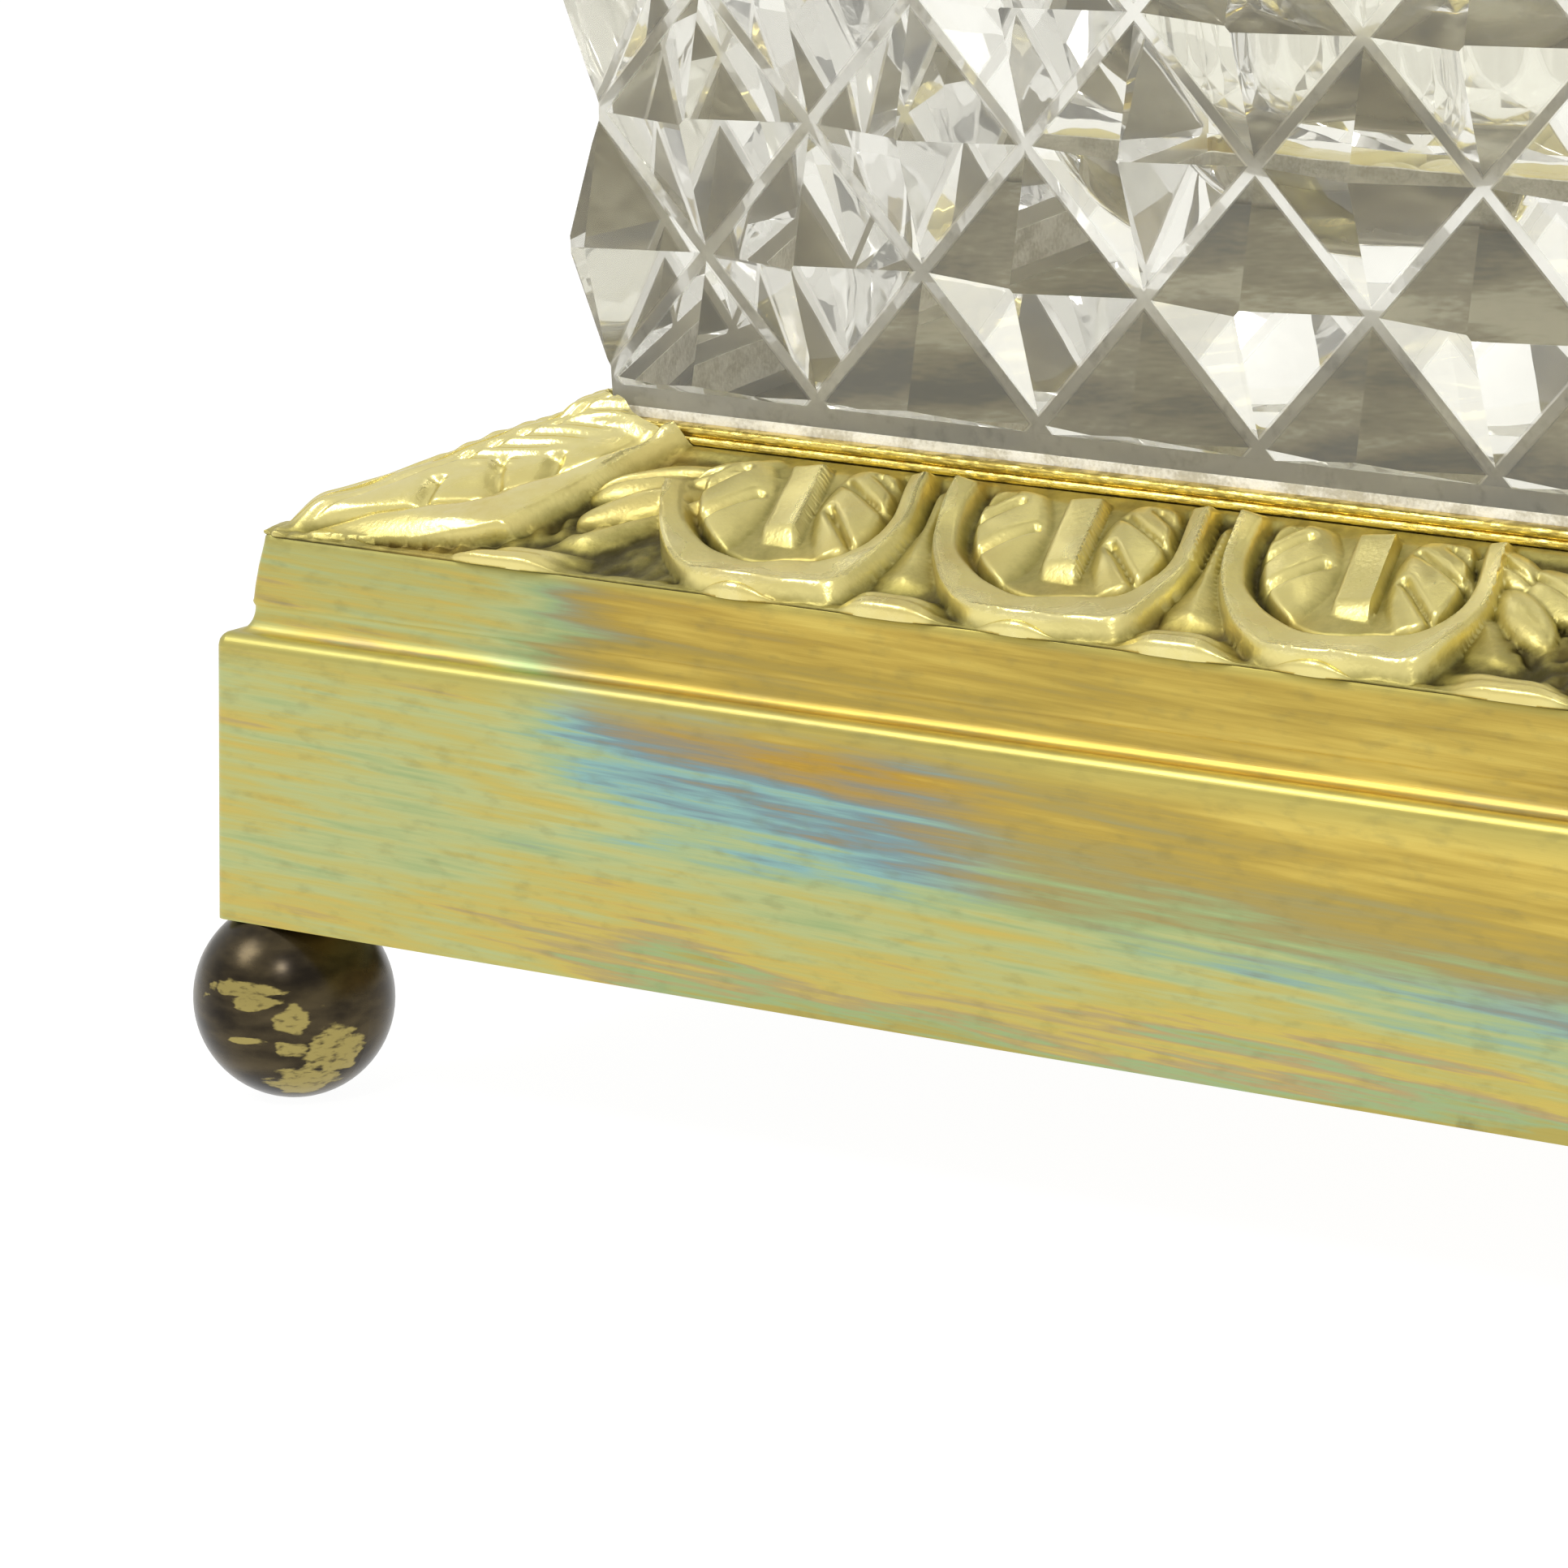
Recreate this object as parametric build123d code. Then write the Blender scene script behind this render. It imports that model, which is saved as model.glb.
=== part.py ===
from build123d import *
import os

# Cut-crystal inkwell on a cast brass base, millimetres.
# +Z up, origin on the ground under the centre, front towards -Y, lid hinge at the back.

# crystal block
diamond = 15.0                      # corner to corner of one cut diamond
diamonds_across = 5
diamonds_high = 4
groove_floor = 0.6                  # polished flat at the bottom of each groove
diamond_rise = 1.8                  # point of a diamond above the groove floor
first_row_z = 39.7                  # height of the lowest row of groove crossings
plain_band = 37.4                   # half width of the uncut band at the bottom
glass_bottom_z = 35.1
bottom_bevel_drop = 0.9
shoulder = 6.0                      # bevel between the cut faces and the top
corner_flat = 0.9                   # chamfer on the upright edges
row_lift = 0.4                      # bottom bevel ends this far above the lowest crossings
shoulder_drop = 0.2                 # shoulder starts this far below the highest crossings
cut_drift = (0.14, -0.22, 0.06, 0.24, -0.12, -0.26, 0.18, -0.02, 0.22, -0.16, 0.10)
                                    # how far the hand-held cuts stray up or down, taken in turn
neck_r = 22.5
neck_height = 7.0
well_r = 17.5
well_floor_z = 50.6
well_round = 10.0                   # round between the wall and the floor of the well

# plinth, moulding and tray
plinth_bottom_half = 54.2
plinth_top_half = 53.6
plinth_bottom_z = 10.35
plinth_top_z = 26.6
plinth_edge_round = 0.8
wall = 3.0
deck = 3.0
moulding_deck = 4.0
screw_hole_depth = 3.6
flare_half = 52.8                   # foot of the cove between the band and the plinth
flare_mid_half = 52.28
flare_mid_z = 27.05
flare_top_z = 27.9
band_half = 52.1
band_top_half = 51.55
band_top_z = 32.0
slope_top_z = 36.5
slope_top_half = 38.2
slope_bulge = 0.75
slope_foot_in = 0.7                 # the slope starts this far in from the band
slope_foot_up = 0.6                 # and this far above it
upright_corner_r = 0.8
tray_sheet = 0.6
tray_floor_z = 33.8
bead_half = 38.4
bead_top_z = 37.6
bead_height = 1.15
bead_edge = 0.22                    # small chamfer along the bead
cement_below_rim = 0.1

# feet and screws
ball_r = 5.65
ball_worn = 0.10                    # flat worn on the bottom of each ball
ball_inset = 3.0                    # ball centre in from the plinth faces
foot_boss = 12.0
foot_boss_height = 8.0
foot_boss_inset = 0.5
drill_extra = 0.5                   # drilled this much deeper than the stud is long
stud_r = 1.75
stud_length = 7.0
screw_r = 1.5
screw_head_r = 2.75
screw_head_height = 2.0
screw_slot_width = 0.8
screw_slot_depth = 0.8
screw_length = 6.0
screw_place = 30.0
screw_boss_r = 4.0
screw_clearance = 0.2
fit = 0.02                          # radial gap of a fixed pin or thread
running_fit = 0.06                  # radial gap of the turning hinge barrel
clear = 1.0                         # how far a cutter runs past what it cuts

# collar
collar_wall = 2.4
collar_flange_r = 29.0
collar_flange_height = 1.8
flange_bulge = 0.6
flange_step = (1.2, 0.4)            # step above the flange, inwards and upwards
flange_cove_r = 2.6
flange_cove_rise = 2.0
collar_lip = 1.5
mouth_r = 18.5
cement_ring = 0.6

# lid
lid_gap = 0.15
lid_ring_r = 26.8
lid_ring_height = 4.0
lid_round_height = 1.8              # lower round of the ring
lid_round_under = 0.6               # the round turns in this far underneath
lid_fillet = 0.4                    # plain fillet between the two rounds
lid_step_in = 0.5                   # the upper round stands this far in from the lower
lid_upper_bulge = 0.2
lid_land = 1.65                     # height of the ledge that the lining rests against
lid_ledge_width = 0.75
lining_gap = 0.05
lining_cup_drop = 0.95              # the cup reaches this far below the lid
lining_r = 23.5
lining_sheet = 0.7
lining_cup_r = 17.2
dome_r = 25.4
dome_rise = 13.85
dome_sheet = 1.4
crown_r = 5.2

# hinge, thumb tab and finial
hinge_y = 30.0
knuckle_r = 2.5
knuckle_half = 8.0
lid_knuckle_half = 2.8
knuckle_gap = 0.1
saddle_height = 4.5
saddle_below = 2.8                  # top of the saddle below the collar's top
saddle_depth = 5.0
leaf_above = 0.4                    # hinge leaf starts this far above the lid's underside
leaf_below = 1.6                    # and ends this far below the top of the ring
pin_end = 0.7                       # riveted heads of the pin
pin_head_over = 0.5
pin_r = 1.0
finial_foot_r = 4.6
finial_foot_height = 1.2
finial_foot_bulge = 0.4
finial_ball_r = 5.0
finial_ball_up = 7.4                # centre of the ball above the crown
finial_waist_r = 2.1
finial_shank_r = 1.5
finial_shank_length = 7.0
nut_across = 5.5
nut_height = 2.4
washer_r = 4.0
washer_height = 0.8
tab_half = 5.0
tab_reach = 4.2
tab_height = 1.8
tab_up = 0.5                        # tab's underside above the lid's underside

# worked out from the above
face_half = diamond * diamonds_across / 2
point_half = face_half + diamond_rise
last_row_z = first_row_z + diamond * diamonds_high
glass_top_z = last_row_z - shoulder_drop + shoulder
neck_top_z = glass_top_z + neck_height
collar_top_z = neck_top_z + cement_ring / 2 + collar_lip
collar_r = neck_r + cement_ring + collar_wall
lid_z = collar_top_z + lid_gap
dome_z = lid_z + lid_ring_height
ball_z = ball_r - ball_worn
foot_place = plinth_bottom_half - ball_inset
hinge_z = collar_top_z + lid_gap / 2


def closed(points):
    """Face in a drawing plane from its corner points."""
    return make_face(Polyline(*points, close=True))


def square_body(face):
    """Square solid with mitred corners whose half section is the face, drawn as (half width, height)."""
    whole = face + mirror(face, about=Plane.YZ)
    along_y = extrude(Plane.XZ * whole, amount=2 * plinth_bottom_half, both=True)
    along_x = extrude(Plane.YZ * whole, amount=2 * plinth_bottom_half, both=True)
    return along_y & along_x


def square_block(half, low, high):
    """Square block between two heights."""
    return Pos(0, 0, (low + high) / 2) * Box(2 * half, 2 * half, high - low)


def turned(face):
    """Solid of revolution about Z of a face drawn as (radius, height)."""
    return revolve(Plane.XZ * face, Axis.Z)


def turned_points(points):
    """Solid of revolution from (radius, height) points."""
    return turned(closed(points))


def upright(radius, low, high):
    """Cylinder on the Z axis between two heights."""
    return Pos(0, 0, low) * Cylinder(radius, high - low, align=(Align.CENTER, Align.CENTER, Align.MIN))


def at_corners(place, piece):
    """Four copies of a piece, one at each corner of a square."""
    return [Pos(sx * place, sy * place, 0) * piece for sy in (-1, 1) for sx in (-1, 1)]


def base_plinth():
    """Hollow cast plinth, open underneath, with drilled corner bosses for the feet."""
    outline = closed([
        (0, plinth_bottom_z),
        (plinth_bottom_half, plinth_bottom_z),
        (plinth_top_half, plinth_top_z),
        (0, plinth_top_z),
    ])
    body = square_body(outline)
    uprights = [e for e in body.edges() if e.bounding_box().size.Z > foot_boss_height]
    body = fillet(uprights, upright_corner_r)
    top_edges = body.faces().sort_by(Axis.Z)[-1].edges()
    body = fillet(top_edges, plinth_edge_round)
    body -= square_block(plinth_top_half - wall, plinth_bottom_z - clear, plinth_top_z - deck)
    boss_top = plinth_bottom_z + foot_boss_height
    boss_centre = plinth_top_half - foot_boss / 2 - foot_boss_inset
    boss = Pos(0, 0, (plinth_bottom_z + boss_top) / 2) * Box(foot_boss, foot_boss, foot_boss_height)
    for block in at_corners(boss_centre, boss):
        body += block
    drill = upright(stud_r + fit, plinth_bottom_z - clear, plinth_bottom_z + stud_length + drill_extra)
    screw_hole = upright(screw_r + screw_clearance, plinth_top_z - deck - clear, plinth_top_z + clear)
    for hole in at_corners(foot_place, drill) + at_corners(screw_place, screw_hole):
        body -= hole
    return body


def base_moulding():
    """Cast frame: cove, upright band and bulging slope up to the tray, with screw bosses below."""
    slope_foot = (band_top_half - slope_foot_in, band_top_z + slope_foot_up)
    slope = ThreePointArc(
        slope_foot,
        ((band_top_half + slope_top_half) / 2, (band_top_z + slope_top_z) / 2 + slope_bulge),
        (slope_top_half, slope_top_z),
    )
    cove = ThreePointArc(
        (flare_half, plinth_top_z),
        (flare_mid_half, flare_mid_z),
        (band_half, flare_top_z),
    )
    outline = make_face([
        Line((0, plinth_top_z), (flare_half, plinth_top_z)),
        cove,
        Line((band_half, flare_top_z), (band_top_half, band_top_z)),
        Line((band_top_half, band_top_z), slope_foot),
        slope,
        Line((slope_top_half, slope_top_z), (0, slope_top_z)),
        Line((0, slope_top_z), (0, plinth_top_z)),
    ])
    body = square_body(outline)
    body -= square_block(slope_top_half, tray_floor_z, slope_top_z + clear)
    body -= square_block(band_top_half - 2 * wall, plinth_top_z - clear, tray_floor_z - moulding_deck)
    boss = upright(screw_boss_r, plinth_top_z, tray_floor_z - moulding_deck)
    for post in at_corners(screw_place, boss):
        body += post
    tapped = upright(screw_r + fit, plinth_top_z - clear, plinth_top_z + screw_hole_depth)
    for hole in at_corners(screw_place, tapped):
        body -= hole
    return body


def seat_tray():
    """Sheet brass tray that the crystal stands in, with a bead round its rim."""
    bead_bottom = bead_top_z - bead_height
    outside = closed([
        (0, tray_floor_z),
        (slope_top_half - fit, tray_floor_z),
        (slope_top_half - fit, slope_top_z),
        (bead_half - bead_edge, bead_bottom + bead_edge / 4),
        (bead_half, bead_bottom + bead_edge),
        (bead_half, bead_top_z - bead_edge),
        (bead_half - bead_edge, bead_top_z),
        (0, bead_top_z),
    ])
    return square_body(outside) - square_block(
        slope_top_half - fit - tray_sheet, tray_floor_z + tray_sheet, bead_top_z + clear)


def cement_bed():
    """Plaster bed under the crystal, pressed up round it to the rim of the tray."""
    low = tray_floor_z + tray_sheet
    block = square_block(slope_top_half - fit - tray_sheet, low, bead_top_z - cement_below_rim)
    return block - square_block(plain_band, glass_bottom_z, bead_top_z + clear)


def ball_foot():
    """Ball foot, ground flat against the plinth, with its threaded stud in one piece."""
    ball = Pos(0, 0, ball_z) * Sphere(ball_r)
    keep = Pos(0, 0, plinth_bottom_z / 2) * Box(4 * ball_r, 4 * ball_r, plinth_bottom_z)
    return (ball & keep) + upright(stud_r, plinth_bottom_z - clear, plinth_bottom_z + stud_length)


def tie_screws():
    """Four cheese-head screws that hold the moulding down on the plinth."""
    seat = plinth_top_z - deck
    head = upright(screw_head_r, seat - screw_head_height, seat)
    slot = Pos(0, 0, seat - screw_head_height) * Box(
        2 * screw_head_r + clear, screw_slot_width, 2 * screw_slot_depth)
    screw = head - slot + upright(screw_r, seat, seat + screw_length)
    return Compound(children=at_corners(screw_place, screw))


def groove(offset, lean):
    """Cutter for one wide V groove that crosses the front face at 45 degrees."""
    pitch = diamond / 2 ** 0.5
    spread = (pitch - groove_floor) / 2 / diamond_rise
    height = 2 * diamond_rise
    section = closed([
        (-groove_floor / 2, 0),
        (groove_floor / 2, 0),
        (groove_floor / 2 + spread * height, height),
        (-groove_floor / 2 - spread * height, height),
    ])
    start = (-face_half, -face_half, first_row_z + offset)
    plane = Plane(origin=start, x_dir=(-lean, 0, 1), z_dir=(1, 0, lean))
    return extrude(plane * section, amount=3 * face_half, both=True)


def stray(turn):
    """How far one cut strays, from its place in the order of cutting."""
    return cut_drift[turn % len(cut_drift)]


def side_grooves(quarter):
    """Cutters for the rising and falling grooves of one side of the block."""
    rising = range(-diamonds_across, diamonds_high + 1)
    falling = range(diamonds_across + diamonds_high + 1)
    cutters = [groove(diamond * n + stray(n + 3 * quarter), 1) for n in rising]
    cutters += [groove(diamond * n + stray(n + 5 * quarter + 4), -1) for n in falling]
    return [Rot(0, 0, 90 * quarter) * cutter for cutter in cutters]


def crystal_block():
    """Lead-crystal block with diamond-cut sides, bevelled shoulder, round neck and round well."""
    shoulder_half = point_half - shoulder
    envelope = closed([
        (0, glass_bottom_z),
        (plain_band, glass_bottom_z),
        (plain_band, first_row_z + row_lift - bottom_bevel_drop),
        (point_half, first_row_z + row_lift),
        (point_half, glass_top_z - shoulder),
        (shoulder_half, glass_top_z),
        (0, glass_top_z),
    ])
    body = square_body(envelope)
    square = chamfer(Rectangle(2 * point_half, 2 * point_half).vertices(), corner_flat)
    body &= Pos(0, 0, glass_bottom_z) * extrude(square, amount=glass_top_z)
    for quarter in range(4):
        body -= side_grooves(quarter)
    body += upright(neck_r, glass_top_z, neck_top_z)
    well = make_face([
        Line((0, neck_top_z + clear), (0, well_floor_z)),
        Line((0, well_floor_z), (well_r - well_round, well_floor_z)),
        RadiusArc((well_r - well_round, well_floor_z), (well_r, well_floor_z + well_round), -well_round),
        Line((well_r, well_floor_z + well_round), (well_r, neck_top_z + clear)),
        Line((well_r, neck_top_z + clear), (0, neck_top_z + clear)),
    ])
    return body - turned(well)


def neck_cement():
    """Plaster between the neck and the collar."""
    inside = neck_r + cement_ring
    return turned_points([
        (neck_r, glass_top_z),
        (inside, glass_top_z),
        (inside, neck_top_z + cement_ring / 2),
        (mouth_r, neck_top_z + cement_ring / 2),
        (mouth_r, neck_top_z),
        (neck_r, neck_top_z),
    ])


def neck_collar():
    """Brass collar over the neck: moulded flange on the shoulder, wall, and a lip at the mouth."""
    inside = neck_r + cement_ring
    foot = glass_top_z
    flange_top = (collar_flange_r, foot + collar_flange_height)
    step = (collar_flange_r - flange_step[0], foot + collar_flange_height + flange_step[1])
    cove_top = (collar_r, step[1] + flange_cove_rise)
    return turned(make_face([
        Line((inside, foot), (collar_flange_r, foot)),
        ThreePointArc(
            (collar_flange_r, foot),
            (collar_flange_r + flange_bulge, foot + collar_flange_height / 2),
            flange_top),
        Line(flange_top, step),
        RadiusArc(step, cove_top, flange_cove_r),
        Line(cove_top, (collar_r, collar_top_z)),
        Line((collar_r, collar_top_z), (mouth_r, collar_top_z)),
        Line((mouth_r, collar_top_z), (mouth_r, collar_top_z - collar_lip)),
        Line((mouth_r, collar_top_z - collar_lip), (inside, collar_top_z - collar_lip)),
        Line((inside, collar_top_z - collar_lip), (inside, foot)),
    ]))


def barrel(low_x, high_x, radius):
    """Cylinder along the hinge axis between two values of X."""
    middle = Pos((low_x + high_x) / 2, hinge_y, hinge_z)
    return middle * Rot(0, 90, 0) * Cylinder(radius, high_x - low_x)


def collar_knuckles():
    """Two outer hinge knuckles on a saddle soldered to the back of the collar."""
    low = collar_top_z - saddle_height
    inner = lid_knuckle_half + knuckle_gap
    high = collar_top_z - saddle_below
    body = Pos(0, hinge_y - saddle_depth / 2, (low + high) / 2) * Box(
        2 * knuckle_half, saddle_depth, high - low)
    for side in (-1, 1):
        middle = side * (inner + knuckle_half) / 2
        cheek = Pos(middle, hinge_y, (low + hinge_z) / 2) * Box(
            knuckle_half - inner, 2 * knuckle_r, hinge_z - low)
        ends = sorted((side * inner, side * knuckle_half))
        body += cheek + barrel(ends[0], ends[1], knuckle_r)
    body -= upright(collar_r, low - clear, hinge_z + 2 * knuckle_r)
    return body - barrel(-knuckle_half - clear, knuckle_half + clear, pin_r + fit)


def lid_knuckle():
    """Middle hinge knuckle, with the leaf that is soldered to the back of the lid ring."""
    body = barrel(-lid_knuckle_half, lid_knuckle_half, knuckle_r)
    leaf_low = lid_z + leaf_above
    leaf_top = lid_z + lid_ring_height - leaf_below
    leaf_middle = (lid_ring_r - clear + hinge_y) / 2
    body += Pos(0, leaf_middle, (leaf_low + leaf_top) / 2) * Box(
        2 * lid_knuckle_half, hinge_y - lid_ring_r + clear, leaf_top - leaf_low)
    body -= upright(lid_ring_r, hinge_z - 2 * knuckle_r, hinge_z + 2 * knuckle_r)
    return body - barrel(-lid_knuckle_half - clear, lid_knuckle_half + clear, pin_r + running_fit)


def hinge_pin():
    """Hinge pin with two small riveted heads."""
    body = barrel(-knuckle_half, knuckle_half, pin_r)
    body += barrel(-knuckle_half - pin_end, -knuckle_half, pin_r + pin_head_over)
    return body + barrel(knuckle_half, knuckle_half + pin_end, pin_r + pin_head_over)


def lid_ring():
    """Moulded ring at the foot of the lid, with an inside ledge for the lining."""
    ledge = lid_z + lid_land
    top = lid_z + lid_ring_height
    inside = lining_r + lining_gap
    upper_r = lid_ring_r - lid_step_in
    round_top = lid_z + lid_round_height
    upper_low = round_top + lid_fillet
    return turned(make_face([
        Line((inside, lid_z), (lid_ring_r - lid_round_under, lid_z)),
        ThreePointArc(
            (lid_ring_r - lid_round_under, lid_z),
            (lid_ring_r, lid_z + lid_round_height / 2),
            (upper_r, round_top)),
        Line((upper_r, round_top), (upper_r, upper_low)),
        ThreePointArc(
            (upper_r, upper_low),
            (upper_r + lid_upper_bulge, (upper_low + top) / 2),
            (dome_r, top)),
        Line((dome_r, top), (inside - lid_ledge_width, top)),
        Line((inside - lid_ledge_width, top), (inside - lid_ledge_width, ledge)),
        Line((inside - lid_ledge_width, ledge), (inside, ledge)),
        Line((inside, ledge), (inside, lid_z)),
    ]))


def lid_lining():
    """Spun disc inside the lid, dished so that it stops the mouth of the well."""
    under = lid_z + lid_land - lining_sheet
    cup = lid_z - lining_cup_drop
    return turned_points([
        (0, cup),
        (lining_cup_r, cup),
        (lining_cup_r, under),
        (lining_r, under),
        (lining_r, under + lining_sheet),
        (lining_cup_r - lining_sheet, under + lining_sheet),
        (lining_cup_r - lining_sheet, cup + lining_sheet),
        (0, cup + lining_sheet),
    ])


def dome_arc(radius, rise, start_z):
    """Upper arc of a dome, from its foot to the edge of the flat crown."""
    sphere_r = (radius ** 2 + rise ** 2) / (2 * rise)
    centre_z = start_z + rise - sphere_r
    middle_r = (radius + crown_r) / 2
    return ThreePointArc(
        (radius, start_z),
        (middle_r, centre_z + (sphere_r ** 2 - middle_r ** 2) ** 0.5),
        (crown_r, centre_z + (sphere_r ** 2 - crown_r ** 2) ** 0.5),
    )


def dome_arcs():
    """Outer and inner arcs of the dome."""
    outer = dome_arc(dome_r, dome_rise, dome_z)
    return outer, dome_arc(dome_r - dome_sheet, dome_rise - dome_sheet, dome_z)


def crown_heights():
    """Heights of the top and the underside of the dome's flat crown."""
    return tuple((arc @ 1).Y for arc in dome_arcs())


def lid_dome():
    """Spun brass dome, one thickness of sheet, with a flat crown drilled for the finial."""
    outer, inner = dome_arcs()
    outer_crown, inner_crown = crown_heights()
    hole = finial_shank_r + fit
    return turned(make_face([
        outer,
        Line((crown_r, outer_crown), (hole, outer_crown)),
        Line((hole, outer_crown), (hole, inner_crown)),
        Line((hole, inner_crown), (crown_r, inner_crown)),
        inner,
        Line((dome_r - dome_sheet, dome_z), (dome_r, dome_z)),
    ]))


def finial():
    """Turned finial: foot, waist and ball, with a threaded shank through the crown."""
    seat = crown_heights()[0]
    low = seat - finial_shank_length
    foot_top = seat + finial_foot_height
    ball_centre = seat + finial_ball_up
    waist_z = ball_centre - (finial_ball_r ** 2 - finial_waist_r ** 2) ** 0.5
    return turned(make_face([
        Line((0, low), (finial_shank_r, low)),
        Line((finial_shank_r, low), (finial_shank_r, seat)),
        Line((finial_shank_r, seat), (finial_foot_r, seat)),
        ThreePointArc(
            (finial_foot_r, seat),
            (finial_foot_r + finial_foot_bulge, (seat + foot_top) / 2),
            (finial_foot_r, foot_top)),
        Line((finial_foot_r, foot_top), (finial_waist_r, waist_z)),
        ThreePointArc(
            (finial_waist_r, waist_z),
            (finial_ball_r, ball_centre),
            (0, ball_centre + finial_ball_r)),
        Line((0, ball_centre + finial_ball_r), (0, low)),
    ]))


def finial_washer():
    """Plain washer under the crown."""
    under = crown_heights()[1]
    return upright(washer_r, under - washer_height, under) - upright(
        finial_shank_r + fit, under - washer_height - clear, under + clear)


def finial_nut():
    """Hexagon nut on the finial's shank."""
    top = crown_heights()[1] - washer_height
    hexagon = RegularPolygon(nut_across / 2, 6, major_radius=False)
    nut = Pos(0, 0, top - nut_height) * extrude(hexagon, amount=nut_height)
    return nut - upright(finial_shank_r + fit, top - nut_height - clear, top + clear)


def thumb_tab():
    """Small rounded tab at the front of the lid ring, to lift it by."""
    low = lid_z + tab_up
    outline = Pos(0, -lid_ring_r - tab_reach + tab_half) * Circle(tab_half)
    outline += Pos(0, -lid_ring_r + clear) * Rectangle(2 * tab_half, 2 * clear)
    tab = Pos(0, 0, low) * extrude(outline, amount=tab_height)
    return tab - upright(lid_ring_r, low - clear, low + tab_height + clear)


def build():
    """Every piece by the name of its node."""
    pieces = {
        "base_plinth": base_plinth(),
        "base_moulding": base_moulding(),
        "seat_tray": seat_tray(),
        "cement_bed": cement_bed(),
        "tie_screws": tie_screws(),
        "crystal_block": crystal_block(),
        "neck_cement": neck_cement(),
        "neck_collar": neck_collar(),
        "collar_knuckles": collar_knuckles(),
        "hinge_pin": hinge_pin(),
        "lid_knuckle": lid_knuckle(),
        "lid_ring": lid_ring(),
        "lid_lining": lid_lining(),
        "lid_dome": lid_dome(),
        "finial": finial(),
        "finial_washer": finial_washer(),
        "finial_nut": finial_nut(),
        "thumb_tab": thumb_tab(),
    }
    names = ("foot_front_left", "foot_front_right", "foot_back_left", "foot_back_right")
    for name, foot in zip(names, at_corners(foot_place, ball_foot())):
        pieces[name] = foot
    return pieces


os.makedirs("parts", exist_ok=True)
for name, piece in build().items():
    export_step(piece, f"parts/{name}.step")
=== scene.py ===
"""Looks of a cut-crystal inkwell with brass mounts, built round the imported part.

Lengths are millimetres until they reach a mesh, a lamp or the camera, which take metres.
The front faces -Y, the ground is z = 0, and the lid hinges at the back.
"""

import logging
import math
from collections.abc import Sequence
from dataclasses import dataclass
from enum import Enum

import bmesh
import bpy
import numpy as np
from mathutils import Matrix, Vector


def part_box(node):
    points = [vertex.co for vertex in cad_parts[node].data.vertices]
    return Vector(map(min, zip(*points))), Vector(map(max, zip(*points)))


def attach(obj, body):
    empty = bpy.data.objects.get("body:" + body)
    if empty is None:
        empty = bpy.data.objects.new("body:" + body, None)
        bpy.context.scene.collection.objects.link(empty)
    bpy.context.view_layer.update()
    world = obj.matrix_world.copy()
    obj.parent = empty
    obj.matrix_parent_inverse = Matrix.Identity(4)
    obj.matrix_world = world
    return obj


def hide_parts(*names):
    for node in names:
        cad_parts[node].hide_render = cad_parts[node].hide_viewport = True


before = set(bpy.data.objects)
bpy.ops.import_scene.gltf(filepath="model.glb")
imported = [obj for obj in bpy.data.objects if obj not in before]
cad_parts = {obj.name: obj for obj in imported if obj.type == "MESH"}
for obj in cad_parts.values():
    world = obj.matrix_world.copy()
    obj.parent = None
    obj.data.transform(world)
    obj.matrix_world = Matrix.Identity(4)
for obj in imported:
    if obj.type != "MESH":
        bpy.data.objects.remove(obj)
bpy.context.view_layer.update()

LOG = logging.getLogger("inkwell")
MM = 0.001
NICK_WIDTH = 0.3

Colour = tuple[float, float, float]
Point = tuple[float, float, float]
Pair = tuple[float, float]
Profile = Sequence[Pair]
Socket = bpy.types.NodeSocket
Object = bpy.types.Object
Faces = list[list[int]]


class Side(Enum):
    """The four sides of the base, by how many quarter turns they stand from the front."""

    FRONT = 0
    RIGHT = 1
    BACK = 2
    LEFT = 3


class Slot(Enum):
    """The names of the material slots of the part's record; nothing here uses them."""

    CAST_BRASS = "cast_brass"
    BRIGHT_BRASS = "bright_brass"
    PLASTER = "plaster"
    CRYSTAL = "crystal"


def shade(red: int, green: int, blue: int) -> Colour:
    """Turn a colour given as three display values from 0 to 255 into scene values.

    Args:
        red: Red, 0 to 255.
        green: Green, 0 to 255.
        blue: Blue, 0 to 255.

    Returns:
        The colour as scene-linear values.
    """
    shares = np.array([red, green, blue]) / 255
    linear = np.where(shares <= 0.04045, shares / 12.92, ((shares + 0.055) / 1.055) ** 2.4)
    return tuple(float(value) for value in linear)


# ---------------------------------------------------------------- shader building


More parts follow.
